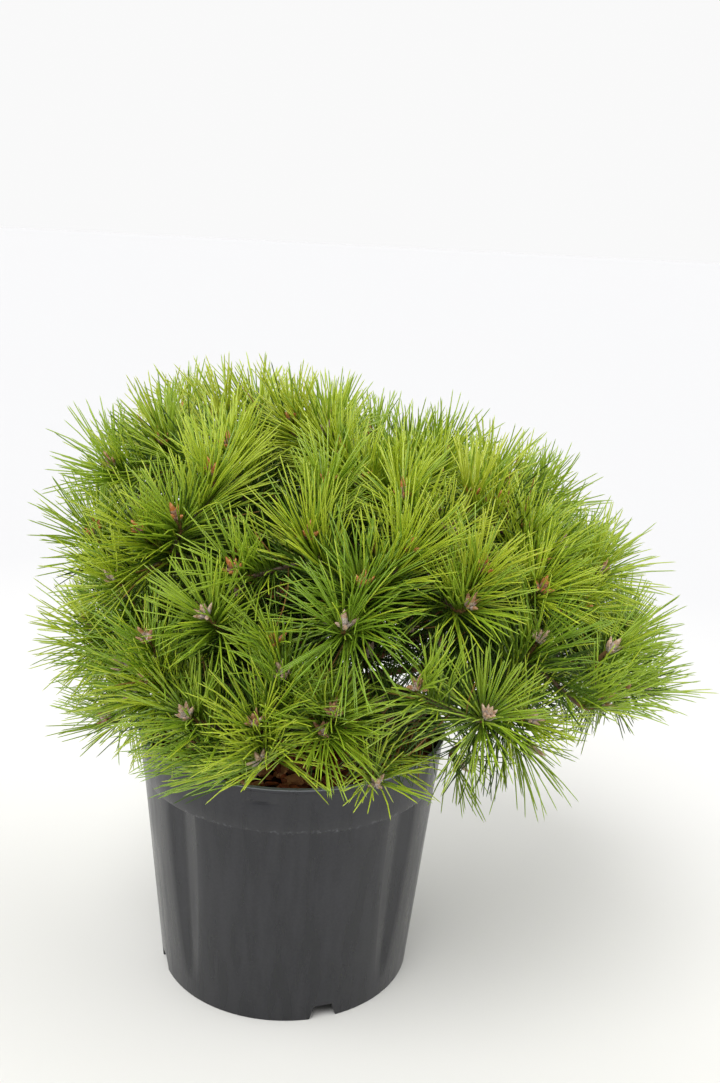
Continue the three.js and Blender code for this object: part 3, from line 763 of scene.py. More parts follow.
tiers = [
    {
        "name": "low", "count": 7, "firstAzimuth": -64, "elevation": 6, "boughReach": 122,
        "from": 0.22, "stagger": 0.24,
    },
    {
        "name": "high", "count": 5, "firstAzimuth": -90, "elevation": 40, "boughReach": 112,
        "from": 0.55, "stagger": 0.3,
    },
]


# Blends four named values round the compass by the squares of sine and cosine
def around(values, azimuth):
    c, s = np.cos(azimuth), np.sin(azimuth)
    alongX = np.where(c > 0, values["right"], values["left"])
    alongY = np.where(s > 0, values["back"], values["front"])
    return alongX * c * c + alongY * s * s


# How far the crown reaches from its middle in a direction: a superellipse in each upright plane
def crownReach(u):
    azimuth = np.arctan2(u[..., 1], u[..., 0])
    wide = around(crown["reach"], azimuth)
    up = u[..., 2] > 0
    tall = np.where(up, around(crown["rise"], azimuth), crown["drop"])
    power = np.where(up, around(crown["squareness"], azimuth), 2)
    level = np.hypot(u[..., 0], u[..., 1])
    return ((level / wide) ** power + (np.abs(u[..., 2]) / tall) ** power) ** (-1 / power)


# The height that needles hang down to: a shallow cone that rises away from the middle, raised
# over the hollow by a bell curve of the azimuth
def undersideAt(points):
    away = points - crown["middle"]
    azimuth = np.arctan2(away[..., 1], away[..., 0])
    beyond = np.hypot(away[..., 0], away[..., 1]) - crown["undersideReach"]
    aside = (np.degrees(azimuth) - hollow["azimuth"]) / hollow["width"]
    lowest = around(crown["underside"], azimuth) + hollow["raise"] * np.exp(-aside * aside)
    return lowest + crown["undersideRise"] * beyond


# Where points keep the margin to the container's outside, and to its rim from above
def clearOfPot(points, margin):
    radius = np.hypot(points[..., 0], points[..., 1])
    outside = wallRadius(np.maximum(points[..., 2], 0)) + pot["collarStep"] + pot["lipProud"] + margin
    beside = (radius > outside) & (points[..., 2] > margin)
    return beside | (points[..., 2] > pot["height"] + margin)


# A bough leaves the trunk outwards and a little up, then bends towards its mass
def boughLine(start, tip, axis):
    span = np.linalg.norm(tip - start)
    leave = unit(tip - start)
    leave[2] = max(leave[2], 0) + bough["lift"]
    leave = unit(leave)
    return bezier(
        start, start + bough["leave"] * span * leave, tip - bough["arrive"] * span * axis, tip)


goldenShare = 0.618  # it staggers the boughs' starts along the trunk


# The masses' axes go round in two tiers and one stands up. Each has the boundary planes of its
# space, whose directions are the differences from the other axes
def makeMasses():
    masses = []
    for tier in tiers:
        for i in range(tier["count"]):
            azimuth = np.radians(tier["firstAzimuth"] + 360 * i / tier["count"])
            axis = direction(azimuth, np.sin(np.radians(tier["elevation"])))
            tip = crown["middle"] + tier["boughReach"] * axis
            share = tier["from"] + tier["stagger"] * ((goldenShare * i) % 1)
            start = pointsAt(trunkLine, share)
            line = boughLine(start, tip, axis)
            masses.append({"name": f"{tier['name']}_{i + 1}", "axis": axis, "line": line})
    masses.append({"name": "top", "axis": upward, "line": trunkLine})
    for mass in masses:
        others = [other["axis"] for other in masses if other is not mass]
        mass["sides"] = unit(mass["axis"] - np.array(others))
    return masses


# How deep points lie in a mass's own space, the cone of points nearer to its axis than to others
def depthIn(mass, points):
    return ((points - crown["middle"]) @ mass["sides"].T).min(-1)


# The point moved square to each boundary of the mass's space that is nearer than the margin
def nudged(mass, point, margin):
    away = point - crown["middle"]
    for side in mass["sides"]:
        away = away + max(margin - side @ away, 0) * side
    return away + crown["middle"]


# Shoots spread over the crown by a sequence that stays even however far it is carried, and those
# with no room for their needles above the underside are passed over
def makeShoots():
    wanted = shoot["count"] + shoot["innerCount"]
    k = np.arange(1.0, shoot["tries"] * wanted)
    lowest = -np.sin(np.radians(crown["dip"]))
    azimuth = 2 * np.pi * ((shoot["firstTurn"] + k * shoot["turnStep"]) % 1)
    height = 1 - (1 - lowest) * ((k * shoot["heightStep"]) % 1)
    outward = direction(azimuth, height)
    turn = np.stack([chance(k, c) - 0.5 for c in (2, 3, 4)], -1)
    axis = unit(outward + shoot["lift"] * upward + shoot["wander"] * turn)
    reach = crownReach(outward) * (1 - shoot["depthSpread"] * chance(k, 5))
    foot = crown["middle"] + outward * reach[:, None] - axis * shoot["tipReach"]
    kept = np.flatnonzero(foot[:, 2] > undersideAt(foot) + crown["room"])
    kept = kept[:wanted]
    inner = kept[shoot["count"]:]
    foot[inner] -= (outward * reach[:, None])[inner] * shoot["innerDepth"]
    found = [
        {
            "number": int(k[i]), "axis": axis[i], "foot": foot[i], "lowest": np.nan,
            "hang": crown["uneven"] * (chance(k[i], 6) - 0.5), "inner": i in inner,
        }
        for i in kept
    ]
    for i, drooper in enumerate(droopers):
        hang = direction(np.radians(drooper["azimuth"]), np.sin(np.radians(drooper["elevation"])))
        away = crownReach(hang) * drooper["share"] - shoot["tipReach"]
        found.append({
            "number": shoot["droopersFrom"] + i, "axis": hang, "foot": crown["middle"] + away * hang,
            "lowest": drooper["lowest"], "hang": 0, "inner": False,
        })
    return found


# The least distances between stretches a to b and stretches c to d, each against each: the
# nearest points of the two endless lines, held within both stretches
def stretchDistance(a, b, c, d):
    u, v, w = (b - a)[:, None], (d - c)[None], a[:, None] - c[None]
    uu, uv, vv = dot(u, u), dot(u, v), dot(v, v)
    s = np.clip((uv * dot(v, w) - vv * dot(u, w)) / np.maximum(uu * vv - uv * uv, 1e-9), 0, 1)
    t = np.clip((uv * s + dot(v, w)) / vv, 0, 1)
    s = np.clip((uv * t - dot(u, w)) / np.maximum(uu, 1e-9), 0, 1)
    return np.linalg.norm(w + s[..., None] * u - t[..., None] * v, axis=-1)


# A twig grows from the nearest branching point so far, by the first of three ways, each more
# arched, that stays in its own space. It is skipped if none does
def twigLine(item, nodes, mass, limbs):
    points = np.array([node["point"] for node in nodes])
    headings = np.array([node["heading"] for node in nodes])
    paths = np.array([node["path"] for node in nodes])
    spans = np.linalg.norm(item["foot"] - points, axis=1)
    forward = dot(item["foot"] - points, headings) / spans > twig["ahead"]
    cost = np.where(forward, spans + twig["detour"] * paths, np.inf)
    best = int(np.argmin(cost)) if forward.any() else 1
    parent, span = nodes[best], spans[best]
    for arch in twig["arches"]:
        rise = arch * span * upward
        leave = parent["point"] + twig["bend"] * span * parent["heading"] + rise
        arrive = item["foot"] - twig["bend"] * span * item["axis"] + rise
        line = bezier(parent["point"], leave, arrive, item["foot"])
        inside = (depthIn(mass, line) > spaceGap + twig["radius"]).all()
        spaced = pointsAt(line, limbShares)
        near = stretchDistance(spaced[:-1], spaced[1:], limbs[:, 0], limbs[:, 1]).min()
        if not inside or not clearOfPot(line, potMargin).all() or near < limbMargin:
            continue
        for t in twig["branchesAt"]:
            nodes.append({
                "point": pointsAt(line, t), "heading": headingsAt(line, t),
                "path": parent["path"] + t * span, "owner": item,
            })
        item["line"], item["parent"] = line, parent["owner"]
        return True
    return False


# One mass: its stem carries on from its bough, and its shoots follow, nearest first
def growMass(mass, shoots, limbs):
    toward = headingsAt(mass["line"], 1)
    start = pointsAt(mass["line"], 1)
    bend = start + toward * stem["length"] / 2
    hub = bend + mass["axis"] * stem["length"] / 2
    mass["stem"] = bezier(start, (start + 2 * bend) / 3, (2 * bend + hub) / 3, hub)
    nodes = [
        {
            "point": pointsAt(mass["stem"], t), "heading": headingsAt(mass["stem"], t),
            "path": t * stem["length"], "owner": None,
        }
        for t in stem["branchesAt"]
    ]
    for item in shoots:
        item["foot"] = nudged(mass, item["foot"], shootMargin)
    shoots = sorted(shoots, key=lambda item: np.linalg.norm(item["foot"] - hub))
    grown = [item for item in shoots if twigLine(item, nodes, mass, limbs)]
    for item in grown:
        item["carried"] = 1
    for item in reversed(grown):
        if item["parent"]:
            item["parent"]["carried"] += item["carried"]
    return grown


masses = makeMasses()
limbLines = [pointsAt(mass["line"], limbShares) for mass in masses]
allShoots = makeShoots()
for i, mass in enumerate(masses):
    others = [line for j, line in enumerate(limbLines) if j != i]
    mass["limbs"] = np.concatenate([np.stack([line[:-1], line[1:]], 1) for line in others])
    own = [item for item in allShoots if depthIn(mass, item["foot"]) >= 0]
    mass["shoots"] = growMass(mass, own, mass["limbs"])
grownCount = sum(len(mass["shoots"]) for mass in masses)
print(f"{grownCount} of {len(allShoots)} shoots grown")


# Trunk and boughs, with the bark's relief

bark = {
    "plate": (6, 6, 13),  # of the trunk's flakes: their width twice, and length along the limb
    "finer": (1.15, 1.7),  # how many times finer than that the two noises are
    "secondWider": 1.4,  # how much further the second one has to be from its middle value
    "cracks": 0.11,  # how wide they are, as a share of the noise
    "flat": 0.6,  # the power that keeps flakes flat between their cracks
    "fissure": 1.1,  # depth of the cracks between flakes
    "grain": 0.7,
    "grainSize": (1.4, 1.4, 4),
    "collar": 1.9,  # how far a bough swells where it leaves the trunk
    "collarLength": 9,
    "boughLength": 100,  # about, for the collar
    "flareShare": 14,  # how fast the trunk's root flare dies away
    "trunkGrid": (96, 110),  # sides and steps
    "boughGrid": (28, 70),
    "boughRelief": 0.45,  # of the trunk's
}


# Relief in millimetres at points of an unrolled limb: flakes with cracks where two noises cross
# their middle values, and fine grain. It shrinks with the limb's thickness
def barkRelief(unrolled, size, seed):
    first, second = (
        smoothNoise(unrolled / bark["plate"] * finer, seed + i) - 0.5
        for i, finer in enumerate(bark["finer"])
    )
    cracks = np.minimum(np.abs(first), bark["secondWider"] * np.abs(second))
    flakes = np.clip(cracks / bark["cracks"], 0, 1) ** bark["flat"] - 1
    grain = smoothNoise(unrolled / bark["grainSize"], seed + 2) - 0.5
    return size * (bark["fissure"] * flakes + bark["grain"] * grain)


# One barked limb: rings carried along its line by parallel turning, each point moved outwards by
# the relief at its place
def barkedLimb(line, radiusAt, sides, steps, size, seed):
    shares = np.linspace(0, 1, steps)
    middle, heads = pointsAt(line, shares), headingsAt(line, shares)
    side = np.empty_like(heads)
    side[0] = anySide(heads[0])
    for i in range(1, steps):
        side[i] = across(side[i - 1], heads[i])
    angle = evenTurns(sides)
    ring = between(side[:, None], np.cross(heads, side)[:, None], angle)
    radius = radiusAt(shares)[:, None]
    unrolled = polar(radius, angle, shares[:, None] * lengthOf(line))
    radius = radius + barkRelief(unrolled + 40 * seed, size, seed)
    points = (middle[:, None] + radius[..., None] * ring).reshape(-1, 3)
    caps = [(np.arange(sides)[::-1][None], 0), (np.arange(sides)[None] + (steps - 1) * sides, 0)]
    return points, [(gridFaces(steps, sides), 0), *caps]


# The trunk tapers evenly, and its foot is wider by a flare that dies away exponentially
def trunkRadius(t):
    flare = (trunk["footRadius"] - trunk["radius"]) * np.exp(-bark["flareShare"] * t)
    return blend(trunk["radius"], trunk["tipRadius"], t) + flare


# So does a bough, with a collar where it leaves the trunk
def boughRadius(t):
    swell = bark["collar"] * np.exp(-t * bark["boughLength"] / bark["collarLength"])
    return blend(bough["baseRadius"], bough["tipRadius"], t) + swell


# Young pine bark: flaking, in patches of grey-brown and a redder brown, quite matt
barkMaterial = makeMottled("flakingPineBark", "#7d5238", "#6b5f55", 11, 0.9, 0.25)
limbParts = [barkedLimb(trunkLine, trunkRadius, *bark["trunkGrid"], 1, 11)]
for i, mass in enumerate(masses[:-1]):
    relief = (bark["boughRelief"], 20 + 3 * i)  # its size and seed
    limbParts.append(barkedLimb(mass["line"], boughRadius, *bark["boughGrid"], *relief))
limbNodes = ["trunk"] + [f"bough_{mass['name']}" for mass in masses[:-1]]
makePiece("barkedTrunkAndBoughs", joined(limbParts), [barkMaterial], limbNodes)


# Shoots and their needles, as lines

shootForm = {
    "budBase": 8,  # from the foot of a shoot, where its buds sit
    "rootRadius": 1.75,  # of a twig that carries one shoot, growing with the root of the number
    "rootGrowth": 0.5,
    "rootMost": 1.05,  # of the stem's end
    "radius": 1.9,
    "taper": 1.3,  # how many times faster than evenly it comes down to that
    "tipRadius": 2.4,
    "swellPower": 6,
    "steps": 18,
    "youngSteps": 5,  # of them, in this year's bark
    "sides": 7,
    "uneven": 0.12,
    "sample": 4,  # spacing of the points that needles stand at
    "reachBack": 128,
    "turnUp": 0.55,  # how strongly a level shoot's end turns up
    "turnOver": 32,  # and over how much of its length
}


# How far a shoot's direction turns up at its end: the more level it is the more, and a drooping
# one not at all
def turnUp(item):
    level = np.hypot(*item["axis"][:2]) * np.isnan(item["lowest"])
    return shootForm["turnUp"] * level * upward


# A shoot's whole line: its twig and then straight on to the buds
def wholeLine(item):
    share = np.array([0.35, 0.7, 1])[:, None]
    return np.vstack([item["line"], item["foot"] + share * shootForm["budBase"] * item["axis"]])


needle = {
    "pairs": 60,  # on this year's growth of a shoot
    "olderPairs": 32,  # on the two years' growth behind it
    "innerPairs": 48,  # on a shoot further in
    "droopingPairs": 38,  # and on a drooping one
    "youngFrom": 6,  # how far back from the buds this year's pairs start and end
    "youngReach": 48,
    "olderReach": 122,
    "bareRoot": 3,
    "turn": 2.39996,  # from pair to pair round the shoot, in radians: the golden angle
    "turnSpread": 0.18,
    "footOut": 1.3,  # from the twig's middle line
    "lengths": (62, 81),
    "twinLength": (0.94, 1.04),
    "olderLength": 0.92,
    "radius": 0.74,
    "rings": [0, 0.36, 0.7, 0.95, 1],  # shares of its length, the last one its point
    "widths": [0.8, 1.0, 0.98, 0.7],
    "lean": (33, 80),  # of the pairs at the buds, and of those furthest back
    "leanPower": 0.8,
    "olderLean": (48, 84),
    "leanSpread": 7,
    "shootSpread": 0.2,  # how much one shoot's needles differ from another's in length and lean
    "shootMiddle": 0.6,  # the chance that gives a shoot the plain length and lean
    "rise": (0.06, 0.34),  # how strongly needles turn up on low shoots, and on those further up
    "riseFrom": 300,
    "riseTo": 400,
    "upright": 0.82,  # how far the needles of an upright shoot close up, as a share of their lean
    "uprightPower": 1.5,
    "leanTries": [1, 0.72, 0.45],
    "splay": (2.5, 7),  # between the two needles of a pair
    "curve": 0.1,  # how far a needle's middle stands off its chord, as a share of its length
    "droop": 0.15,
    "straddle": 22,  # how far needles may cross into the next mass's space, so that no seam shows
    "limbRoom": 5.5,
    "potRoom": 1.5,
    "straightTested": [0.4, 0.7, 1],  # shares of its length at which the straight needle is tested
    "bentTested": [0.2, 0.4, 0.6, 0.8, 1],  # for room at the container, and then the bent one
    "fewest": 0.42,  # of a shoot's needles that it keeps, as a share
    "seed": 33,
}


# The points and headings at every few millimetres back along a shoot from its buds
def backPoints(item):
    line = wholeLine(item)
    back = np.arange(0, shootForm["reachBack"], shootForm["sample"])
    shares = 1 - np.minimum(back / lengthOf(line), 1)
    return pointsAt(line, shares), headingsAt(line, shares), lengthOf(line)


# How many pairs of this year's growth a shoot has
def pairsOf(item):
    if item["inner"]:
        return needle["innerPairs"]
    return needle["pairs"] if np.isnan(item["lowest"]) else needle["droopingPairs"]


# Where the bases of pairs stand and point. They follow the golden angle round the shoot, and lean
# further out the further back they stand
def makePairs(item, rng):
    points, heads, length = backPoints(item)
    pairs, olderPairs = pairsOf(item), needle["olderPairs"]
    young = blend(needle["youngFrom"], needle["youngReach"], (np.arange(pairs) + 0.5) / pairs)
    span = needle["olderReach"] - needle["youngReach"]
    older = needle["youngReach"] + span * (np.arange(olderPairs) + 0.5) / olderPairs
    back = np.concatenate([young, older])
    count = len(back)
    isOlder = np.arange(count) >= pairs
    low = (back / shootForm["sample"]).astype(int)
    f = (back / shootForm["sample"] - low)[:, None]
    base = points[low] * (1 - f) + points[low + 1] * f
    turned = np.exp(-back / shootForm["turnOver"])[:, None] * turnUp(item)
    head = unit(heads[low] * (1 - f) + heads[low + 1] * f + turned)
    side = across(anySide(item["axis"]) + 0 * head, head)
    turn = np.arange(count) * needle["turn"] + rng.normal(0, needle["turnSpread"], count)
    out = between(side, np.cross(head, side), turn)
    lean = blend(*needle["lean"], (back / needle["youngReach"]) ** needle["leanPower"])
    lean = np.where(isOlder, rng.uniform(*needle["olderLean"], count), lean)
    own = 1 + needle["shootSpread"] * (chance(item["number"], 13) - needle["shootMiddle"])
    upright = max(item["axis"][2], 0) ** needle["uprightPower"]
    own = own * (1 - (1 - needle["upright"]) * upright)
    lean = lean * own + rng.normal(0, needle["leanSpread"], count)
    rise = blend(*needle["rise"], ramp(item["foot"][2], needle["riseFrom"], needle["riseTo"]))
    scale = 1 + needle["shootSpread"] * (chance(item["number"], 14) - needle["shootMiddle"])
    each = {
        "number": item["number"], "lowest": item["lowest"], "hang": item["hang"],
        "scale": scale, "rise": rise * np.isnan(item["lowest"]),
    }
    return {
        "base": base + needle["footOut"] * out, "head": head, "out": out, "lean": np.radians(lean),
        # needles of shoots further in take the older, darker material: painted shade deep in the crown
        "older": isOlder | item["inner"], "kept": back < length - needle["bareRoot"],
        **{key: np.full(count, value) for key, value in each.items()},
    }


# Two needles for each pair, splayed about the pair's direction. One that would leave the crown's
# space or touch the pot or a limb turns towards the shoot's own direction, and else is skipped
def makeNeedleLines(mass, rng):
    pairs = [makePairs(item, rng) for item in mass["shoots"]]
    joinedPairs = {key: np.concatenate([pair[key] for pair in pairs]) for key in pairs[0]}
    kept = joinedPairs.pop("kept")
    own = {key: np.repeat(values[kept], 2, axis=0) for key, values in joinedPairs.items()}
    count = len(own["lean"])
    twin = np.tile([-1, 1], count // 2)
    splay = np.repeat(np.radians(rng.uniform(*needle["splay"], count // 2)), 2) * twin
    splayTurn = np.repeat(rng.uniform(0, np.pi, count // 2), 2)
    length = np.repeat(rng.uniform(*needle["lengths"], count // 2), 2)
    length = length * rng.uniform(*needle["twinLength"], count)
    length = own["scale"] * np.where(own["older"], needle["olderLength"] * length, length)
    bow = rng.normal(0, needle["curve"], (count, 3))
    chosen = np.zeros(count, bool)
    direct = np.zeros((count, 3))
    for share in needle["leanTries"]:
        heading = between(own["head"], own["out"], own["lean"] * share)
        heading[:, 2] += own["rise"]
        heading = unit(heading)
        first = anySide(heading)
        aside = between(first, np.cross(heading, first), splayTurn)
        heading = unit(heading + splay[:, None] * aside)
        tip = own["base"] + heading * length[:, None]
        beside = (tip[:, 0] - parting["x"]) / parting["width"]
        parted = np.where(tip[:, 1] < 0, parting["raise"] * np.exp(-beside * beside), 0)
        lowest = undersideAt(tip) + np.maximum(own["hang"], parting["even"] * parted) + parted
        lowest = np.where(np.isnan(own["lowest"]), lowest, own["lowest"])
        good = (depthIn(mass, tip) > -needle["straddle"]) & (tip[:, 2] > lowest) & ~chosen
        for t in needle["straightTested"]:
            good &= clearOfPot(blend(own["base"], tip, t), needle["potRoom"])
        index = np.flatnonzero(good)
        near = stretchDistance(
            own["base"][index], tip[index], mass["limbs"][:, 0], mass["limbs"][:, 1])
        good[index] = near.min(1) > needle["limbRoom"]
        direct[good] = heading[good]
        chosen |= good
    bend = across(bow + 1e-6, np.where(chosen[:, None], direct, [1.0, 0, 0]))
    bend *= np.abs(rng.normal(0, needle["curve"], count))[:, None]
    bend += -needle["droop"] * upward * rng.uniform(0, 1, (count, 1))
    for t in needle["bentTested"]:
        bent = own["base"] + length[:, None] * (direct * t + bend * t * t)
        chosen &= clearOfPot(bent, needle["potRoom"])
    lines = {
        "base": own["base"], "heading": direct, "length": length, "bend": bend,
        "older": own["older"], "number": own["number"],
    }
    return {key: values[chosen] for key, values in lines.items()}


# A shoot that keeps too few of its needles is left out with them, unless it carries other shoots
def pruned(mass, lines):
    for item in mass["shoots"]:
        full = 2 * (pairsOf(item) + needle["olderPairs"]) * needle["fewest"]
        item["full"] = (lines["number"] == item["number"]).sum() >= full
        item["stays"] = item["full"] or item["carried"] > 1
    mass["shoots"] = [item for item in mass["shoots"] if item["stays"]]
    left = np.isin(lines["number"], [item["number"] for item in mass["shoots"]])
    return {key: values[left] for key, values in lines.items()}


rng = np.random.default_rng(needle["seed"])
for mass in masses:
    mass["needles"] = pruned(mass, makeNeedleLines(mass, rng))
fullCount = sum(item["full"] for mass in masses for item in mass["shoots"])
print(f"{fullCount} shoots carry full needles")


# Twigs

# A twig tapers from a root that grows with the square root of what it carries, and swells towards
# its buds by a high power of the share. The stems go with them, sunk into their boughs' ends
def makeTwigs():
    lines, radii = [], []
    shares = np.linspace(0, 1, shootForm["steps"])
    for item in [item for mass in masses for item in mass["shoots"]]:
        growth = shootForm["rootGrowth"] * np.sqrt(item["carried"] - 1)
        most = shootForm["rootMost"] * stem["tipRadius"]
        root = min(shootForm["rootRadius"] * (1 + growth), most)
        swell = (shootForm["tipRadius"] - shootForm["radius"]) * shares**shootForm["swellPower"]
        uneven = shootForm["uneven"] * (chance(item["number"] + shares * 31, 9) - 0.5)
        taper = blend(root, shootForm["radius"], np.clip(shares * shootForm["taper"], 0, 1))
        lines.append(pointsAt(wholeLine(item), shares))
        radii.append(taper * (1 + uneven) + swell)
    kinds = np.arange(shootForm["steps"] - 1) >= shootForm["steps"] - 1 - shootForm["youngSteps"]
    twigs = tubes(np.array(lines), np.array(radii), shootForm["sides"], kinds.astype(int))
    shares = np.linspace(0, 1, stem["steps"])
    stems = np.array([
        pointsAt(mass["stem"], shares)
        - stem["sink"] * (1 - shares)[:, None] * headingsAt(mass["line"], 1)
        for mass in masses
    ])
    width = blend(stem["baseRadius"], stem["tipRadius"], shares)
    widths = width + 0 * stems[..., 0]
    return joined([twigs, tubes(stems, widths, stem["sides"], [0] * (stem["steps"] - 1))])


# Twig bark is scaly and grey-brown, and this year's growth is still orange-brown under its needles
twigBark = makeMottled("scalyTwigBark", "#5f4632", "#6b6055", 3, 0.85, 0.3)
youngBark = makeMottled("youngTwigBark", "#8d6a40", "#74563c", 3, 0.75, 0.3)
massNodes = [f"needles_{mass['name']}" for mass in masses]
makePiece("twigs", makeTwigs(), [twigBark, youngBark], massNodes)


# Buds

bud = {
    "sides": 6,
    "rings": [0, 0.22, 0.5, 0.78, 1],  # shares of its length, the last one its point
    "widths": [0.62, 1, 0.86, 0.5],
    "length": (14, 19),
    "radius": (2.8, 3.5),
    "sideCount": (4, 7),
    "sideLength": (10, 14.5),
    "sideRadius": (2.1, 2.9),
    "sideLean": (24, 58),
    "sideTurn": 0.2,  # how unevenly they go round, as a share of the step
    "sideFoot": (2.5, 1.2),  # how far behind the shoot's end and out from its axis they start
    "leanSpread": 0.08,
    "lowLevel": 380,  # below this height all buds are pale with resin
    "highLevel": 520,  # and above this one most are orange-brown
    "orangeMost": 0.9,  # that many of them
    "seed": 21,
}


# A cluster is one upright bud and a ring of smaller ones that lean out. Each is a spindle: rings
# about its axis whose widths rise and then fall to a point
def makeBuds():
    rng = np.random.default_rng(bud["seed"])
    bases, heads, lengths, widths, shade = [], [], [], [], []
    for item in [item for mass in masses for item in mass["shoots"] if item["full"]]:
        axis = unit(item["axis"] + turnUp(item))
        side = anySide(axis)
        base = item["foot"] + shootForm["budBase"] * item["axis"]
        count = rng.integers(*bud["sideCount"], endpoint=True)
        start = rng.uniform(0, 2 * np.pi)
        steps = np.arange(count) + rng.uniform(-bud["sideTurn"], bud["sideTurn"], count)
        lean = np.radians(rng.uniform(*bud["sideLean"], count))
        out = between(side, np.cross(axis, side), start + 2 * np.pi * steps / count)
        behind, beside = bud["sideFoot"]
        bases += [base - axis, *(base - behind * axis + beside * out)]
        heads += [unit(axis + rng.normal(0, bud["leanSpread"], 3)), *between(axis, out, lean)]
        lengths += [rng.uniform(*bud["length"]), *rng.uniform(*bud["sideLength"], count)]
        widths += [rng.uniform(*bud["radius"]), *rng.uniform(*bud["sideRadius"], count)]
        up = ramp(base[2], bud["lowLevel"], bud["highLevel"])
        orange = rng.uniform() < bud["orangeMost"] * up
        shade += [0 if orange else rng.integers(1, 3)] * (count + 1)
    bases, heads, lengths, widths = (np.array(each) for each in (bases, heads, lengths, widths))
    reach = (lengths[:, None] * heads)[:, None]
    lines = bases[:, None] + np.array(bud["rings"])[:, None] * reach
    kinds = np.array(shade)[:, None] + [0, 0, 3, 3]
    return pointed(lines, heads, np.array(bud["widths"]) * widths[:, None], bud["sides"], kinds)


# Winter buds: orange-brown scales, which on the lower and shadier shoots are whitened by resin.
# The first three colours are for their lower halves and the last three for their tips
budMaterials = [
    makeMottled("budOrangeBrown", "#85563f", "#c4a597", 2.2, 0.45, 0.5),
    makeMottled("resinousBudPink", "#aa8a7b", "#e7dad3", 2.2, 0.5, 0.5),
    makeMottled("resinousBudGrey", "#9a8379", "#dfd3cd", 2.2, 0.55, 0.5),
    makeMottled("budTipOrange", "#b4601f", "#d99f66", 2.2, 0.45, 0.5),
    makeMottled("budTipBrown", "#9a653e", "#c49c7b", 2.2, 0.5, 0.5),
    makeMottled("budTipTan", "#b08564", "#dcc5b2", 2.2, 0.55, 0.5),
]
makePiece("winterBuds", makeBuds(), budMaterials, massNodes)


# Needles

# The material number of a needle's foot: a deeper green than the rest of it, painted shade where
# the needles crowd at the buds
shadedFootKind = np.array([1, 2, 2, 0, 4, 5])


# A needle is three-sided and blunt, on a curved line: base + heading t + bend t squared, both times
# its length
def needlePart(lines, kinds):
    shares = np.array(needle["rings"])[:, None]
    heading, bend = lines["heading"][:, None], lines["bend"][:, None]
    length = lines["length"][:, None, None]
    middle = lines["base"][:, None] + length * (heading * shares + bend * shares**2)
    radii = needle["radius"] * np.array(needle["widths"]) + 0 * middle[:, 1:, 0]
    # painted shade: each needle's foot band takes the deeper material
    bands = np.stack([shadedFootKind[kinds], kinds, kinds, kinds], -1)
    return pointed(middle, lines["heading"], radii, 3, bands)


# Living two-needled pine foliage: a thin wax makes it satin. Sprays differ from yellow-green to a
# deeper green, and low sprays lean to the deeper greens as painted shade. Older needles, and those
# on shoots further in, are darker, partly their own colour and partly painted shade, and a few dead
# ones are straw-brown
needleMaterials = [
    makeMaterial("needleBright", "#bacd36", 0.32, specular=0.7),
    makeMaterial("needleGreen", "#9eba30", 0.32, specular=0.7),
    makeMaterial("needleDeep", "#85a72a", 0.32, specular=0.7),
    makeMaterial("needleYellow", "#bfcc3a", 0.34, specular=0.7),
    # older needles' own darker green, made darker still as painted shade; shoots further in take it
    # too
    makeMaterial("needleOlderWithPaintedShade", "#445f16", 0.45, specular=0.3),
    makeMaterial("needleDead", "#96713c", 0.6, specular=0.3),
]
spray = {
    "shares": [0.07, 0.37, 0.4, 0.16],  # from yellow through bright and green to deep
    "kinds": [3, 0, 1, 2],
    "paintedShadeShift": 0.38,  # how much greener the lowest sprays are than the highest: painted shade on the lower crown
    "mixed": 0.26,  # share of a spray's needles that have another green
    "dead": 0.05,  # share of the older needles
    "low": 280,
    "high": 560,
}


# The material number of each needle. It is dealt out by spray, from a chance that leans towards
# the deeper greens on low ones as painted shade, then a little by needle, and by age
def needleKinds(mass, rng):
    number, older = mass["needles"]["number"], mass["needles"]["older"]
    kinds = np.zeros(len(number), int)
    for item in mass["shoots"]:
        up = ramp(item["foot"][2], spray["low"], spray["high"])
        # painted shade: low sprays are pushed towards the deeper greens
        draw = np.clip(chance(item["number"], 12) + spray["paintedShadeShift"] * (0.5 - up), 0, 0.999)
        dealt = np.searchsorted(np.cumsum(spray["shares"]), draw)
        kinds[number == item["number"]] = spray["kinds"][dealt]
    other = rng.integers(0, 3, len(kinds))
    kinds = np.where(rng.uniform(size=len(kinds)) < spray["mixed"], other, kinds)
    aged = np.where(rng.uniform(size=len(kinds)) < spray["dead"], 5, 4)
    return np.where(older, aged, kinds)


for mass, node in zip(masses, massNodes):
    part = needlePart(mass["needles"], needleKinds(mass, rng))
    makePiece(f"pineNeedles_{mass['name']}", part, needleMaterials, [node])


# Floor, light and camera

studio = {
    "floorRadius": 60.0,
    "floorColour": "#e3e2df",
    "farColour": "#d3d3d4",  # of the floor towards the horizon, where nothing shades it
    "changesFrom": 0.45,
    "changesTo": 1.6,
    "sky": 0.86,  # the light from above, behind and the sides
    "skyInFront": 0.27,  # and from where the viewer stands
    "frontEnds": (-0.9, 0.1),  # between these shares of the way back it changes
    "skyAside": 1.2,  # added to it at the very left and right
    "asideEnds": (0.55, 0.95),
    "skySeen": 0.95,  # how bright the camera sees it
    "suns": [
        {"name": "key", "from": (-0.35, -0.6, 1.0), "strength": 1.85, "angle": 38},
        {"name": "fill", "from": (0.9, -0.15, 0.6), "strength": 0.6, "angle": 60},
    ],
}


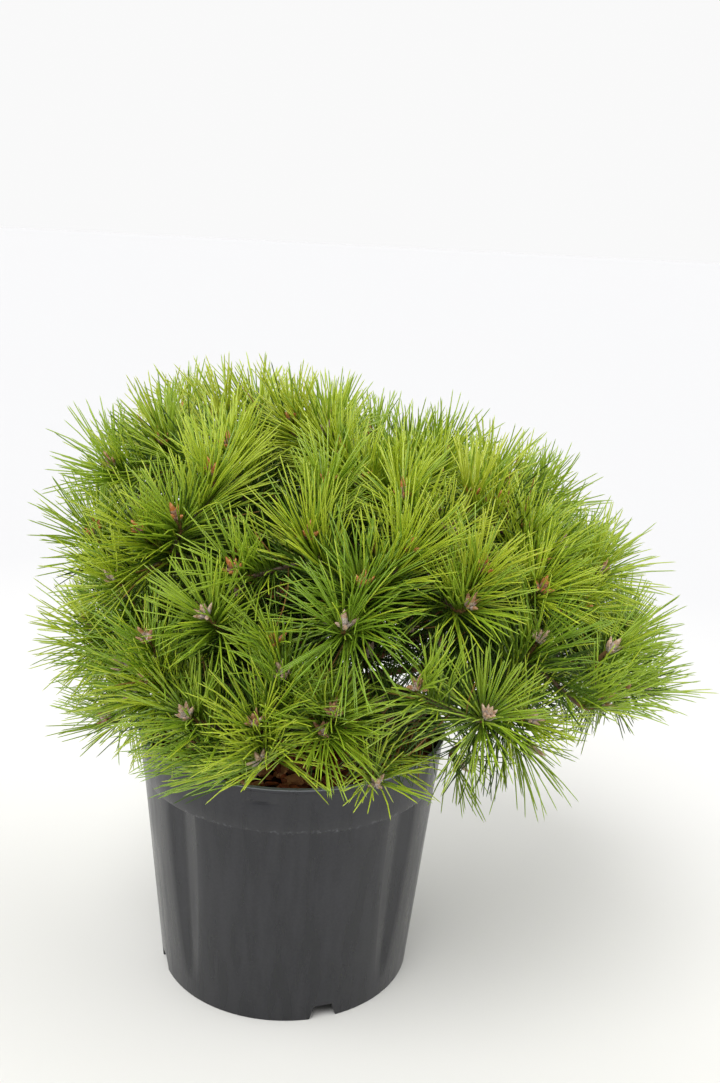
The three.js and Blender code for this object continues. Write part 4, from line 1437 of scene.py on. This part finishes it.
# The floor is one disc whose colour changes with the distance from the middle
def makeFloorDisc():
    rim = polar(studio["floorRadius"], evenTurns(96), 0)
    mesh = bpy.data.meshes.new("studioFloor")
    mesh.from_pydata(rim.tolist(), [], [list(range(len(rim)))])
    material = makeMaterial("paleStudioFloor", studio["floorColour"], 0.8, specular=0.1)
    tree = material.node_tree
    place = addNode(tree, "TexCoord")["Object"]
    away = addNode(tree, "VectorMath", {"Vector": place}, operation="LENGTH")["Value"]
    share = addNode(tree, "MapRange", {
        "Value": away, "From Min": studio["changesFrom"], "From Max": studio["changesTo"],
    })["Result"]
    colours = addNode(tree, "Mix", {
        "Factor": share, "A": toLinear(studio["floorColour"]), "B": toLinear(studio["farColour"]),
    }, data_type="RGBA")["Result"]
    feed(tree, tree.nodes["Principled BSDF"], {"Base Color": colours})
    mesh.materials.append(material)
    floor = bpy.data.objects.new("studioFloor", mesh)
    bpy.context.scene.collection.objects.link(floor)


# The turn that points a sun's -Z from its own direction at the middle
def aimedFrom(place):
    back = unit(np.array(place, float))
    right = unit(np.cross(upward, back))
    up = np.cross(back, right)
    return Matrix([[right[i], up[i], back[i], place[i]] for i in range(3)] + [[0, 0, 0, 1]])


# Two broad suns, and a sky that is dimmer in front and brighter at the left and right. The camera
# sees it at one even brightness
def makeLights():
    for sun in studio["suns"]:
        light = bpy.data.lights.new(sun["name"], "SUN")
        light.energy = sun["strength"]
        light.angle = np.radians(sun["angle"])
        placed = bpy.data.objects.new(sun["name"], light)
        placed.matrix_world = aimedFrom(sun["from"])
        bpy.context.scene.collection.objects.link(placed)
    world = bpy.data.worlds.new("studioSky")
    world.use_nodes = True
    tree = world.node_tree
    toward = addNode(tree, "TexCoord")["Generated"]
    axes = addNode(tree, "SeparateXYZ", {"Vector": toward})
    behind = addNode(tree, "MapRange", {
        "Value": axes["Y"], "From Min": studio["frontEnds"][0], "From Max": studio["frontEnds"][1],
        "To Min": studio["skyInFront"], "To Max": studio["sky"],
    }, interpolation_type="SMOOTHSTEP")["Result"]
    sideways = addNode(tree, "Math", {0: axes["X"]}, operation="ABSOLUTE")["Value"]
    aside = addNode(tree, "MapRange", {
        "Value": sideways, "From Min": studio["asideEnds"][0], "From Max": studio["asideEnds"][1],
        "To Min": 0, "To Max": studio["skyAside"],
    }, interpolation_type="SMOOTHSTEP")["Result"]
    light = addNode(tree, "Math", {0: behind, 1: aside}, operation="ADD")["Value"]
    seen = addNode(tree, "LightPath")["Is Camera Ray"]
    strength = addNode(tree, "Mix", {"Factor": seen, "A": light, "B": studio["skySeen"]})["Result"]
    feed(tree, tree.nodes["Background"], {"Color": (1, 1, 1, 1), "Strength": strength})
    bpy.context.scene.world = world
    bpy.context.scene.view_settings.view_transform = "Standard"


# The photograph's camera: it stands in front, looks a little down and is turned by its own angles
camera = {
    "photoHeight": 1083,  # pixels
    "focus": 1162.4,  # pixels
    "place": (0.0, -1.1296, 0.7691),
    "pitch": 0.2642,
    "roll": -0.0507,
    "yaw": 0.0539,
    "sensor": 36.0,
    "farEnd": 50,  # metres
}


def makeCamera():
    pitch, roll, yaw = camera["pitch"], camera["roll"], camera["yaw"]
    ahead = np.array([np.sin(yaw) * np.cos(pitch), np.cos(yaw) * np.cos(pitch), -np.sin(pitch)])
    right = np.array([np.cos(yaw), -np.sin(yaw), 0])
    down = np.cross(ahead, right)
    rolledRight, rolledDown = between(right, down, roll), between(down, -right, roll)
    columns = np.stack([rolledRight, -rolledDown, -ahead, camera["place"]], -1)
    lens = bpy.data.cameras.new("photoCamera")
    lens.sensor_width = camera["sensor"]
    lens.lens = camera["focus"] / camera["photoHeight"] * camera["sensor"]
    lens.clip_end = camera["farEnd"]
    placed = bpy.data.objects.new("photoCamera", lens)
    placed.matrix_world = Matrix([*columns.tolist(), [0, 0, 0, 1]])
    bpy.context.scene.collection.objects.link(placed)
    bpy.context.scene.camera = placed


makeFloorDisc()
makeLights()
makeCamera()
print("studio ready")
